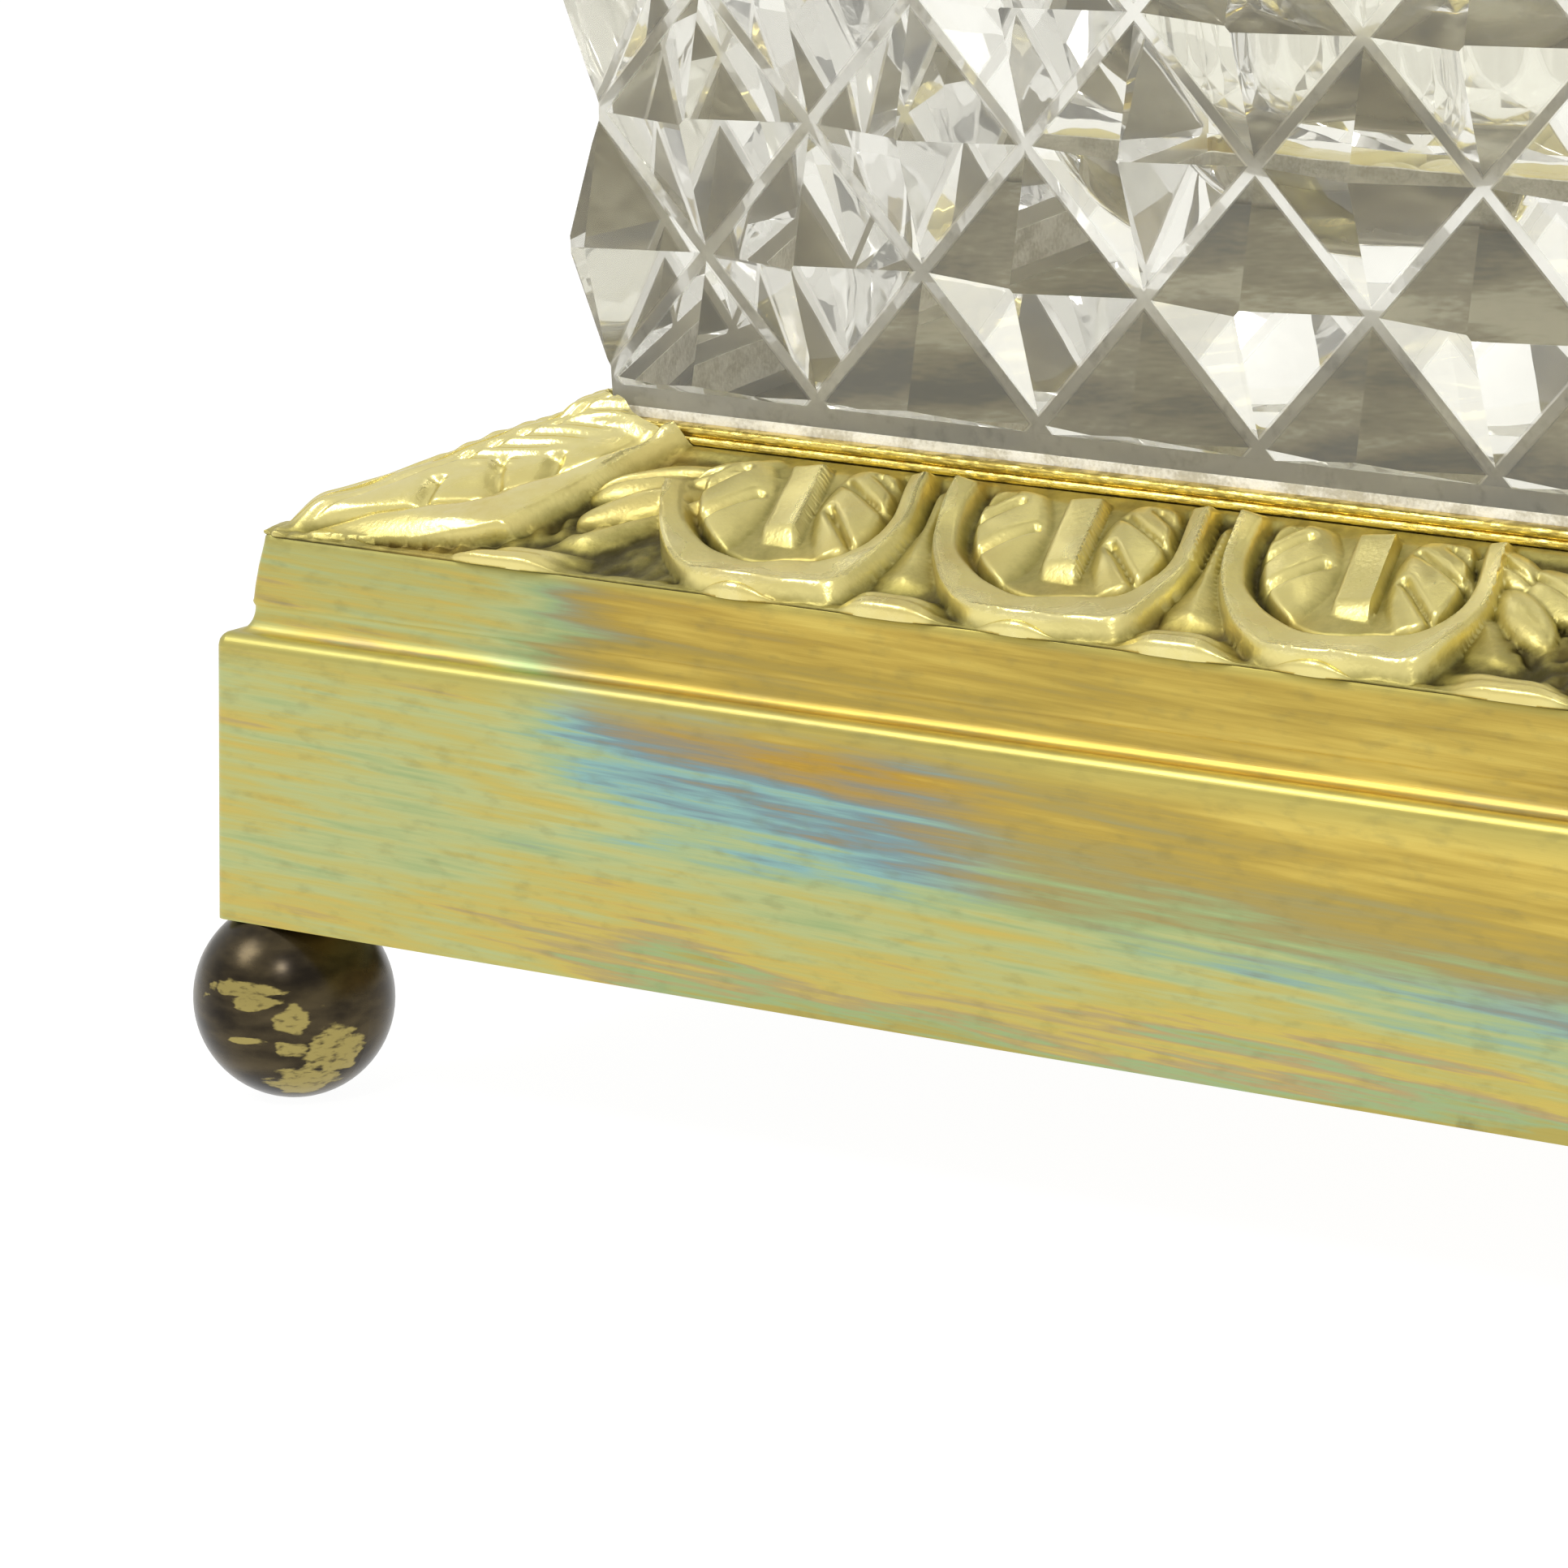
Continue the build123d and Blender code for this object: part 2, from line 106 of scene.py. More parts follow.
class Value:
    """A number that varies over a surface: one socket of a material, with arithmetic."""

    def __init__(self, graph: "Graph", socket: Socket) -> None:
        """Keep the material's graph and the socket that gives the number."""
        self.graph = graph
        self.socket = socket

    def _with(self, operation: str, first: "Value | float", second: "Value | float") -> "Value":
        """Return the result of one Math node on two numbers."""
        return self.graph.value("ShaderNodeMath", {"operation": operation}, {0: first, 1: second})

    def __add__(self, other: "Value | float") -> "Value":
        """Return the sum."""
        return self._with("ADD", self, other)

    def __radd__(self, other: float) -> "Value":
        """Return the sum, with the plain number first."""
        return self._with("ADD", other, self)

    def __sub__(self, other: "Value | float") -> "Value":
        """Return the difference."""
        return self._with("SUBTRACT", self, other)

    def __rsub__(self, other: float) -> "Value":
        """Return a plain number less this one."""
        return self._with("SUBTRACT", other, self)

    def __mul__(self, other: "Value | float") -> "Value":
        """Return the product."""
        return self._with("MULTIPLY", self, other)

    def __rmul__(self, other: float) -> "Value":
        """Return the product, with the plain number first."""
        return self._with("MULTIPLY", other, self)

    def __truediv__(self, other: float) -> "Value":
        """Return the quotient."""
        return self._with("DIVIDE", self, other)

    def most(self, other: "Value | float") -> "Value":
        """Return the larger of two numbers."""
        return self._with("MAXIMUM", self, other)

    def size(self) -> "Value":
        """Return the number without its sign."""
        return self.graph.value("ShaderNodeMath", {"operation": "ABSOLUTE"}, {0: self})

    def step(self, low: float, high: float) -> "Value":
        """Rise smoothly from 0 at low to 1 at high.

        Args:
            low: Where the rise starts.
            high: Where it ends; below low for a fall.

        Returns:
            The eased value, from 0 to 1.
        """
        flipped = high < low
        ends = (high, low) if flipped else (low, high)
        targets = (1.0, 0.0) if flipped else (0.0, 1.0)
        return self.graph.value(
            "ShaderNodeMapRange",
            {"interpolation_type": "SMOOTHSTEP"},
            {"Value": self, "From Min": ends[0], "From Max": ends[1],
             "To Min": targets[0], "To Max": targets[1]},
        )


class Graph:
    """The node tree of one material."""

    def __init__(self, name: str) -> None:
        """Start an empty material of that name."""
        self.material = bpy.data.materials.new(name)
        self.material.use_nodes = True
        self.tree = self.material.node_tree
        self.tree.nodes.clear()

    def node(self, kind: str, settings: dict | None = None, inputs: dict | None = None) -> bpy.types.Node:
        """Add a node.

        Args:
            kind: The node's type.
            settings: Its own settings, which are made first.
            inputs: A number, colour, vector or link for each socket, by name or place.

        Returns:
            The node.
        """
        made = self.tree.nodes.new(kind)
        for key, setting in (settings or {}).items():
            setattr(made, key, setting)
        for key, given in (inputs or {}).items():
            source = given.socket if isinstance(given, Value) else given
            if isinstance(source, Socket):
                self.tree.links.new(source, made.inputs[key])
            elif isinstance(source, tuple) and made.inputs[key].type == "RGBA":
                made.inputs[key].default_value = (*source, 1.0)
            else:
                made.inputs[key].default_value = source
        return made

    def value(self, kind: str, settings: dict | None = None, inputs: dict | None = None) -> Value:
        """Add a node and return its first output as a number that varies."""
        return Value(self, self.node(kind, settings, inputs).outputs[0])

    def point(self) -> Socket:
        """Return the place on the piece, in millimetres."""
        place = self.node("ShaderNodeTexCoord").outputs["Object"]
        return self.stretched(place, (1 / MM, 1 / MM, 1 / MM))

    def stretched(self, place: Socket, scale: Point, offset: Point = (0, 0, 0)) -> Socket:
        """Scale a place along each axis, then shift it.

        Args:
            place: The place.
            scale: Factor along X, Y and Z.
            offset: What is added after the scaling.

        Returns:
            The scaled place.
        """
        settings = {"operation": "MULTIPLY_ADD"}
        return self.node("ShaderNodeVectorMath", settings, {0: place, 1: scale, 2: offset}).outputs[0]

    def parts(self, place: Socket) -> tuple[Value, Value, Value]:
        """Return the X, Y and Z of a place."""
        split = self.node("ShaderNodeSeparateXYZ", None, {0: place})
        return tuple(Value(self, out) for out in split.outputs)

    def noise(self, place: Socket, scale: Point, detail: float = 3.0, seed: float = 0.0) -> Value:
        """Return cloudy noise between 0 and 1.

        Args:
            place: Where on the piece, in millimetres.
            scale: How many clouds to a millimetre along each axis.
            detail: How many finer layers are added.
            seed: Shift that makes one noise unlike another.

        Returns:
            The noise.
        """
        moved = self.stretched(place, scale, (seed, seed * 1.7, seed * 0.6))
        return self.value("ShaderNodeTexNoise", None, {"Vector": moved, "Scale": 1.0, "Detail": detail})

    def cells(self, place: Socket, scale: Point, seed: float = 0.0) -> Value:
        """Return the distance to the middle of the nearest of many scattered cells."""
        moved = self.stretched(place, scale, (seed, seed * 1.3, seed * 0.7))
        return self.value("ShaderNodeTexVoronoi", None, {"Vector": moved, "Scale": 1.0})

    def ramp(self, value: Value, stops: Sequence[tuple[float, Colour]]) -> Socket:
        """Return the colour that a number stands for.

        Args:
            value: The number, from 0 to 1.
            stops: Places from 0 to 1 with their colours, in order.

        Returns:
            The colour.
        """
        made = self.node("ShaderNodeValToRGB", None, {0: value})
        elements = made.color_ramp.elements
        while len(elements) < len(stops):
            elements.new(1.0)
        for element, (place, colour) in zip(elements, stops):
            element.position = place
            element.color = (*colour, 1.0)
        return made.outputs[0]

    def blend(self, share: Value | float, low: object, high: object) -> Socket:
        """Mix two colours.

        Args:
            share: How much of the second shows.
            low: The first colour or its socket.
            high: The second colour or its socket.

        Returns:
            The mixed colour.
        """
        mix = self.node("ShaderNodeMix", {"data_type": "RGBA"}, {0: share, 6: low, 7: high})
        return mix.outputs[2]

    def bump(self, height: Value, depth: float) -> Socket:
        """Return a normal roughened by a height, of which 1 stands for the full depth in millimetres."""
        inputs = {"Strength": 1.0, "Distance": depth * MM, "Height": height}
        return self.node("ShaderNodeBump", None, inputs).outputs[0]

    def surface(self, inputs: dict) -> Socket:
        """Return a surface with those properties."""
        return self.node("ShaderNodeBsdfPrincipled", None, inputs).outputs[0]

    def finish(self, surface: Socket) -> bpy.types.Material:
        """Send a surface to the output and return the material."""
        self.node("ShaderNodeOutputMaterial", None, {"Surface": surface})
        return self.material


# ---------------------------------------------------------------- finishes


@dataclass(frozen=True)
class TarnishedBrass:
    """Brushed brass under a thin film of tarnish that turns from gold through blue to olive."""

    name: str
    low_z: float
    high_z: float
    film_at_top: float = 0.16
    film_at_foot: float = 0.93
    film_per_mm: float = -0.0064
    film_at_left: float = 0.67
    blue_share: float = 1.0
    front: float = 54.2
    round_rate: float = 0.6
    streak_lean: float = 0.035
    streak_share: float = 0.50
    thread_share: float = 0.46
    cloud_share: float = 0.24
    left_quarter: Pair = (-20.0, -36.0)
    left_rise: float = 0.05
    brush_depth: float = 0.012
    roughness: float = 0.38

    def round_base(self, graph: Graph, place: Socket) -> tuple[Value, Value]:
        """Return the distance along the front and on round the sides, and the share of the way down."""
        x, y, z = graph.parts(place)
        return x + (y + self.front) * self.round_rate, (self.high_z - z) / (self.high_z - self.low_z)

    def film(self, graph: Graph, place: Socket) -> Value:
        """Work out how thick the film of tarnish is.

        It thickens from top to foot and, high up, from right to left. Past the left quarter it is
        even. Over this lie streaks that run with the brushing and fall a little to the right.

        Args:
            graph: The material's graph.
            place: The place on the piece, in millimetres.

        Returns:
            The film, mostly between 0 and 1.
        """
        x, y, z = graph.parts(place)
        along, depth = self.round_base(graph, place)
        leaned = {0: x, 1: y, 2: z + x * self.streak_lean}
        streaked = graph.node("ShaderNodeCombineXYZ", None, leaned).outputs[0]
        streaks = graph.noise(streaked, (0.05, 0.05, 0.75), 5.0, 3.1)
        threads = graph.noise(streaked, (0.10, 0.10, 2.4), 4.0, 7.7)
        clouds = graph.noise(place, (0.045, 0.045, 0.16), 2.0, 11.3)
        left = along.step(*self.left_quarter)
        main = (along * self.film_per_mm + self.film_at_top) * (1.0 - depth) + depth * self.film_at_foot
        base = main * (1.0 - left) + left * (depth * self.left_rise + self.film_at_left)
        uneven = base + (streaks - 0.5) * self.streak_share + (threads - 0.5) * self.thread_share
        return uneven + (clouds - 0.5) * self.cloud_share

    def blue(self, graph: Graph, place: Socket) -> Value:
        """Work out how much of the blue shows: most left of the middle, less towards the right.

        Args:
            graph: The material's graph.
            place: The place on the piece, in millimetres.

        Returns:
            0 where none shows, 1 where all of it does.
        """
        along, depth = self.round_base(graph, place)
        main = along.step(-38.0, -27.0) * along.step(6.0, -6.0) * depth.step(0.62, 0.5)
        lower = along.step(2.0, 16.0) * depth.step(0.5, 0.62) * 0.7
        return main.most(lower) * self.blue_share

    def material(self) -> bpy.types.Material:
        """Build the material.

        Returns:
            Brushed brass whose colour follows the film.
        """
        graph = Graph(self.name)
        place = graph.point()
        film = self.film(graph, place)
        blue, plain = graph.ramp(film, TARNISH), graph.ramp(film, PLAIN_TARNISH)
        colour = graph.blend(self.blue(graph, place), plain, blue)
        edge = graph.noise(place, (0.5, 0.5, 0.5), 4.0, 5.0)
        _, depth = self.round_base(graph, place)
        colour = graph.blend(depth.step(0.15, 0.03) * 0.75, colour, shade(188, 178, 100))
        dirt = graph.cells(place, (0.045, 0.045, 0.10), 2.0).step(0.12, 0.05) * edge.step(0.42, 0.6)
        colour = graph.blend(dirt * 0.4, colour, shade(110, 100, 60))
        grime = graph.noise(place, (0.5, 0.5, 1.4), 5.0, 13.0)
        colour = graph.blend(grime.step(0.5, 0.75) * 0.25, colour, shade(130, 124, 80))
        lines = graph.noise(place, (0.02, 0.02, 9.0), 2.0, 1.0)
        fine = graph.noise(place, (0.05, 0.05, 24.0), 2.0, 4.0)
        dents = graph.noise(place, (0.22, 0.22, 0.3), 2.0, 9.0)
        height = lines * 0.6 + fine * 0.3 + dents * 1.2
        rough = (lines - 0.5) * 0.18 + (film - 0.5) * 0.05 + self.roughness
        return graph.finish(graph.surface({
            "Base Color": colour, "Metallic": 0.92, "Roughness": rough,
            "Normal": graph.bump(height, self.brush_depth),
        }))


TARNISH: Sequence[tuple[float, Colour]] = (
    (0.00, shade(221, 197, 102)),
    (0.12, shade(207, 174, 82)),
    (0.22, shade(186, 150, 64)),
    (0.30, shade(170, 148, 98)),
    (0.37, shade(150, 144, 122)),
    (0.43, shade(128, 154, 158)),
    (0.50, shade(142, 182, 176)),
    (0.57, shade(168, 187, 140)),
    (0.66, shade(189, 193, 132)),
    (0.74, shade(193, 182, 104)),
    (0.80, shade(206, 186, 98)),
    (0.86, shade(184, 162, 118)),
    (0.92, shade(160, 183, 134)),
    (1.00, shade(182, 168, 92)),
)
PLAIN_TARNISH: Sequence[tuple[float, Colour]] = (
    (0.00, shade(221, 197, 102)),
    (0.12, shade(208, 182, 90)),
    (0.24, shade(188, 162, 78)),
    (0.34, shade(176, 156, 86)),
    (0.44, shade(166, 156, 104)),
    (0.54, shade(162, 179, 125)),
    (0.64, shade(184, 190, 130)),
    (0.74, shade(193, 184, 108)),
    (0.80, shade(202, 182, 98)),
    (0.87, shade(180, 163, 112)),
    (0.93, shade(160, 180, 126)),
    (1.00, shade(180, 166, 92)),
)


@dataclass(frozen=True)
class CastBrass:
    """Cast ornament: cream gold on the high places with a painted highlight on the highest, olive tarnish
    and painted shade in the recesses.
    """

    name: str = "cast_leaf_brass"
    # Near-white painted highlight, laid on the highest places.
    painted_highlight: Colour = shade(252, 244, 196)
    high: Colour = shade(232, 219, 144)
    low: Colour = shade(156, 146, 80)
    # Painted shade for the deepest recesses and the ground between the leaves.
    painted_recess_shade: Colour = shade(78, 71, 36)

    def material(self) -> bpy.types.Material:
        """Build the material, which reads the piece's own relief.

        Returns:
            Brass whose polish and colour follow the height of the casting, with painted shade low and
            painted highlights high.
        """
        graph = Graph(self.name)
        place = graph.point()
        relief = graph.value("ShaderNodeAttribute", {"attribute_name": "relief"})
        relief = Value(graph, relief.socket.node.outputs["Fac"])
        cloud = graph.noise(place, (0.35, 0.35, 0.5), 4.0, 2.0)
        grain = graph.noise(place, (2.2, 2.2, 2.2), 4.0, 6.0)
        mottled = relief + (cloud - 0.5) * 0.35 + (grain - 0.5) * 0.18
        # Olive tarnish, partly painted shade, in the hollows and cream gold on the high places; then painted
        # shade darkens the lowest ground.
        colour = graph.blend(mottled.step(0.2, 0.75), self.low, self.high)
        colour = graph.blend(mottled.step(0.3, 0.05), colour, self.painted_recess_shade)
        warm = graph.noise(place, (0.12, 0.12, 0.3), 2.0, 8.0)
        colour = graph.blend(warm.step(0.45, 0.75) * 0.35, colour, shade(214, 184, 96))
        # Painted highlight: the highest places, the rims' lips and the corner leaf's crest, turn near-white;
        # they are also made smoother.
        wear_and_highlight = mottled.step(0.85, 1.08)
        colour = graph.blend(wear_and_highlight * 0.3, colour, self.painted_highlight)
        rough = 0.5 - mottled.step(0.15, 0.8) * 0.2 - wear_and_highlight * 0.1 + (grain - 0.5) * 0.1
        pits = graph.cells(place, (1.6, 1.6, 1.6), 4.0).step(0.0, 0.35)
        pebble = graph.noise(place, (5.0, 5.0, 5.0), 3.0, 12.0)
        height = grain * 0.8 + pebble * 0.5 + cloud * 0.8 + pits * 0.3
        return graph.finish(graph.surface({
            "Base Color": colour, "Metallic": 0.9, "Roughness": rough, "Normal": graph.bump(height, 0.03),
        }))


@dataclass(frozen=True)
class TurnedBrass:
    """Turned or spun brass: clean gold with fine rings round the upright axis."""

    name: str
    colour: Colour = shade(222, 200, 116)
    tarnish: Colour = shade(174, 162, 96)
    roughness: float = 0.26
    ring_depth: float = 0.006

    def material(self) -> bpy.types.Material:
        """Build the material.

        Returns:
            Brass with turning marks, which lie level, and light tarnish in clouds.
        """
        graph = Graph(self.name)
        place = graph.point()
        cloud = graph.noise(place, (0.09, 0.09, 0.12), 4.0, 1.0)
        spots = graph.noise(place, (0.7, 0.7, 0.7), 4.0, 5.0)
        worn = (cloud + (spots - 0.5) * 0.4).step(0.42, 0.68)
        rings = graph.noise(place, (0.01, 0.01, 7.0), 2.0, 3.0)
        scratches = graph.noise(place, (0.4, 3.5, 0.6), 2.0, 6.0)
        colour = graph.blend(worn * 0.75, self.colour, self.tarnish)
        rough = self.roughness + worn * 0.12 + (scratches - 0.5) * 0.08
        height = rings + scratches * 0.4
        return graph.finish(graph.surface({
            "Base Color": colour, "Metallic": 0.95, "Roughness": rough,
            "Normal": graph.bump(height, self.ring_depth),
        }))


@dataclass(frozen=True)
class BrightBrass:
    """Rubbed sheet brass of the tray and its bead: bright, with short sparkling scratches."""

    name: str = "rubbed_sheet_brass"
    colour: Colour = shade(232, 208, 112)
    shadow: Colour = shade(146, 128, 62)

    def material(self) -> bpy.types.Material:
        """Build the material.

        Returns:
            Bright brass, darker and rougher where dirt stays.
        """
        graph = Graph(self.name)
        place = graph.point()
        flecks = graph.noise(place, (1.3, 1.3, 6.0), 4.0, 2.0)
        cloud = graph.noise(place, (0.16, 0.16, 0.5), 3.0, 7.0)
        dull = (flecks * 0.6 + cloud * 0.5).step(0.48, 0.66)
        colour = graph.blend(dull * 0.8, self.colour, self.shadow)
        rough = 0.2 + dull * 0.22
        return graph.finish(graph.surface({
            "Base Color": colour, "Metallic": 0.95, "Roughness": rough, "Normal": graph.bump(flecks, 0.05),
        }))


@dataclass(frozen=True)
class DarkBronze:
    """Brown-black patina, rubbed through to gold in patches."""

    name: str
    patches: Sequence[tuple[Point, Point]] = ()
    patina: Colour = shade(86, 75, 53)
    deep: Colour = shade(36, 30, 22)
    gold: Colour = shade(164, 149, 88)

    def wear_and_highlight(self, graph: Graph, place: Socket) -> Value:
        """Work out where the patina is rubbed through.

        Args:
            graph: The material's graph.
            place: The place on the piece, in millimetres.

        Returns:
            1 where the gold shows, 0 where the patina is whole.
        """
        ragged = graph.noise(place, (0.6, 0.6, 1.8), 5.0, 4.0) - 0.5
        clouds = graph.noise(place, (0.28, 0.28, 0.5), 3.0, 9.0)
        bare = (clouds + ragged * 0.5).step(0.66, 0.72)
        for centre, reach in self.patches:
            scale = tuple(1 / size for size in reach)
            shift = tuple(-middle / size for middle, size in zip(centre, reach))
            near = graph.stretched(place, scale, shift)
            far = graph.node("ShaderNodeVectorMath", {"operation": "LENGTH"}, {0: near}).outputs["Value"]
            bare = bare.most((Value(graph, far) + ragged * 1.5).step(1.05, 0.85))
        return bare

    def material(self) -> bpy.types.Material:
        """Build the material.

        Returns:
            Dark bronze with gold where it is rubbed.
        """
        graph = Graph(self.name)
        place = graph.point()
        bare = self.wear_and_highlight(graph, place)
        mottle = graph.noise(place, (0.3, 0.3, 0.7), 4.0, 3.0)
        colour = graph.blend(mottle.step(0.25, 0.75), self.deep, self.patina)
        worn = graph.noise(place, (1.6, 1.6, 4.0), 4.0, 14.0)
        colour = graph.blend(bare * worn.step(0.2, 0.5), colour, self.gold)
        rough = bare * 0.1 + (mottle - 0.5) * 0.12 + 0.27
        height = mottle * 0.6 - bare * 0.5
        return graph.finish(graph.surface({
            "Base Color": colour, "Metallic": 0.85, "Roughness": rough, "Normal": graph.bump(height, 0.02),
        }))


@dataclass(frozen=True)
class Plaster:
    """Old grey-white plaster with dirt in it, brown where it lies under the crystal."""

    name: str = "old_plaster"
    brown_below_z: float = 0.0

    def material(self) -> bpy.types.Material:
        """Build the material.

        Returns:
            Grainy plaster.
        """
        graph = Graph(self.name)
        place = graph.point()
        cloud = graph.noise(place, (0.4, 0.4, 0.8), 5.0, 1.0)
        grain = graph.noise(place, (4.0, 4.0, 4.0), 4.0, 2.0)
        dirty = (cloud + (grain - 0.5) * 0.5).step(0.35, 0.7)
        colour = graph.blend(dirty, shade(244, 240, 226), shade(200, 193, 172))
        stain = graph.noise(place, (0.07, 0.07, 0.07), 3.0, 5.0)
        stained = (stain + (cloud - 0.5) * 0.5).step(0.32, 0.66)
        brown = graph.blend(stained, shade(112, 103, 80), shade(150, 143, 118))
        under = graph.parts(place)[2].step(self.brown_below_z + 0.2, self.brown_below_z - 0.2)
        colour = graph.blend(under, colour, brown)
        return graph.finish(graph.surface({
            "Base Color": colour, "Roughness": 0.8 + (grain - 0.5) * 0.2,
            "Normal": graph.bump(grain, 0.08),
        }))


@dataclass(frozen=True)
class CutCrystal:
    """Lead crystal, slightly hazy on the facets and more so along the bottoms of the grooves."""

    groove_half: float = 37.5
    name: str = "cut_lead_crystal"
    refraction: float = 1.54
    tint: Colour = (0.965, 0.957, 0.88)
    haze: float = 0.2
    haze_roughness: float = 0.3
    groove_share: float = 0.45

    def material(self) -> bpy.types.Material:
        """Build the material.

        Returns:
            Crystal with faint waves in its polish, mixed with a share of a rougher one.
        """
        graph = Graph(self.name)
        place = graph.point()
        x, y, _ = graph.parts(place)
        facing = graph.node("ShaderNodeNewGeometry").outputs["True Normal"]
        across, along, _ = graph.parts(facing)
        on_sides = (across.size() - along.size()).step(-0.1, 0.1)
        depth = x.size() * on_sides + y.size() * (1.0 - on_sides)
        ragged = graph.noise(place, (0.8, 0.8, 0.8), 3.0, 2.0)
        groove = (depth - self.groove_half).size().step(0.06, 0.02) * ragged.step(0.0, 0.5)
        waves = graph.noise(place, (0.16, 0.16, 0.16), 2.0, 6.0)
        clear = graph.surface({
            "Base Color": self.tint, "Roughness": 0.0, "IOR": self.refraction, "Transmission Weight": 1.0,
            "Normal": graph.bump(waves, 0.02),
        })
        hazy = graph.surface({
            "Base Color": self.tint, "Roughness": self.haze_roughness, "Transmission Weight": 0.92,
            "IOR": self.refraction,
        })
        share = groove * self.groove_share + (ragged - 0.5) * 0.1 + self.haze
        mixed = graph.node("ShaderNodeMixShader", None, {0: share, 1: clear, 2: hazy})
        return graph.finish(mixed.outputs[0])


@dataclass(frozen=True)
class DulledCrystal:
    """Crystal along the worn edges between facets: pale, less polished, still letting light in."""

    name: str = "dulled_crystal_edge"
    refraction: float = 1.56

    def material(self) -> bpy.types.Material:
        """Build the material.

        Returns:
            Frosted crystal, patchy along the edge.
        """
        graph = Graph(self.name)
        place = graph.point()
        patch = graph.noise(place, (0.7, 0.7, 0.7), 4.0, 3.0)
        colour = graph.blend(patch.step(0.35, 0.65), shade(222, 220, 202), shade(244, 243, 232))
        return graph.finish(graph.surface({
            "Base Color": colour, "Roughness": 0.2 + patch * 0.3, "Transmission Weight": 0.88,
            "IOR": self.refraction,
        }))


@dataclass(frozen=True)
class BeddedFace:
    """The underside of the crystal where it is stuck to the plaster: brown, seen from inside."""

    name: str = "bedded_crystal_face"

    def material(self) -> bpy.types.Material:
        """Build the material.

        Returns:
            Matt olive brown with dark patches and a few pale ones.
        """
        graph = Graph(self.name)
        place = graph.point()
        stain = graph.noise(place, (0.06, 0.06, 0.06), 4.0, 5.0)
        grit = graph.noise(place, (0.9, 0.9, 0.9), 4.0, 2.0)
        share = stain + (grit - 0.5) * 0.25
        colour = graph.ramp(share.step(0.3, 0.7), BEDDING_STAINS)
        return graph.finish(graph.surface({"Base Color": colour, "Roughness": 0.9}))


BEDDING_STAINS: Sequence[tuple[float, Colour]] = (
    (0.0, shade(104, 101, 88)),
    (0.3, shade(136, 128, 104)),
    (0.7, shade(160, 152, 125)),
    (1.0, shade(200, 194, 168)),
)


@dataclass(frozen=True)
class PaleFloor:
    """Plain matt floor that glows, so that it looks white and shows almost no shadow."""

    name: str = "pale_floor"
    colour: Colour = (0.09, 0.09, 0.09)

    def material(self) -> bpy.types.Material:
        """Build the material.

        Returns:
            A matt dark grey with an even white glow over it.
        """
        graph = Graph(self.name)
        return graph.finish(graph.surface({
            "Base Color": self.colour, "Roughness": 0.9, "Specular IOR Level": 0.1,
            "Emission Color": (1.0, 1.0, 1.0), "Emission Strength": 0.96,
        }))


# ---------------------------------------------------------------- surfaces


def ease(value: np.ndarray, low: float, high: float) -> np.ndarray:
    """Rise smoothly from 0 at low to 1 at high: 3s^2 - 2s^3 of the share s of the way."""
    share = np.clip((value - low) / (high - low), 0, 1)
    return share * share * (3 - 2 * share)


def ripple(first: np.ndarray, second: np.ndarray, length: float, seed: int) -> np.ndarray:
    """Uneven surface: the mean of twelve plane waves in scattered directions.

    Args:
        first: One coordinate, in millimetres.
        second: The other.
        length: About how long a wave is.
        seed: Which scatter is used.

    Returns:
        Heights, mostly between -1 and 1.
    """
    scatter = np.random.default_rng(seed)
    total = np.zeros_like(first)
    for turn, phase, stretch in scatter.uniform(0, 1, (12, 3)):
        rate = 2 * math.pi / (length * (0.7 + 0.8 * stretch))
        heading = 2 * math.pi * turn
        across = first * math.cos(heading) + second * math.sin(heading)
        total += np.sin(rate * across + 2 * math.pi * phase)
    return total / 3.5


def nick(across: np.ndarray, down: np.ndarray, start: Pair, end: Pair) -> np.ndarray:
    """Share of a straight nick's full depth at each point: bell-shaped in the distance from it.

    The point is dropped on the line through the nick's ends, and the foot is kept between them.

    Args:
        across: Coordinates across the ornament.
        down: Coordinates down it.
        start: One end of the nick.
        end: The other end.

    Returns:
        1 along the nick, falling to 0 beside it.
    """
    step = np.subtract(end, start)
    share = ((across - start[0]) * step[0] + (down - start[1]) * step[1]) / float(step @ step)
    share = np.clip(share, 0, 1)
    distance = np.hypot(across - start[0] - share * step[0], down - start[1] - share * step[1])
    return np.exp(-(distance / NICK_WIDTH) ** 2)


def quads(rows: int, columns: int, loop_rows: bool, loop_columns: bool) -> np.ndarray:
    """Corner numbers of the faces of a grid whose points are numbered row by row.

    Args:
        rows: How many rows of points.
        columns: How many points in a row.
        loop_rows: Whether the last row joins the first.
        loop_columns: Whether each row's end joins its start.

    Returns:
        One line of four corners for each face.
    """
    row = np.arange(rows if loop_rows else rows - 1)[:, None]
    column = np.arange(columns if loop_columns else columns - 1)[None, :]
    next_row = (row + 1) % rows
    next_column = (column + 1) % columns
    corners = (row * columns + column, row * columns + next_column,
               next_row * columns + next_column, next_row * columns + column)
    return np.stack(corners, axis=-1).reshape(-1, 4)


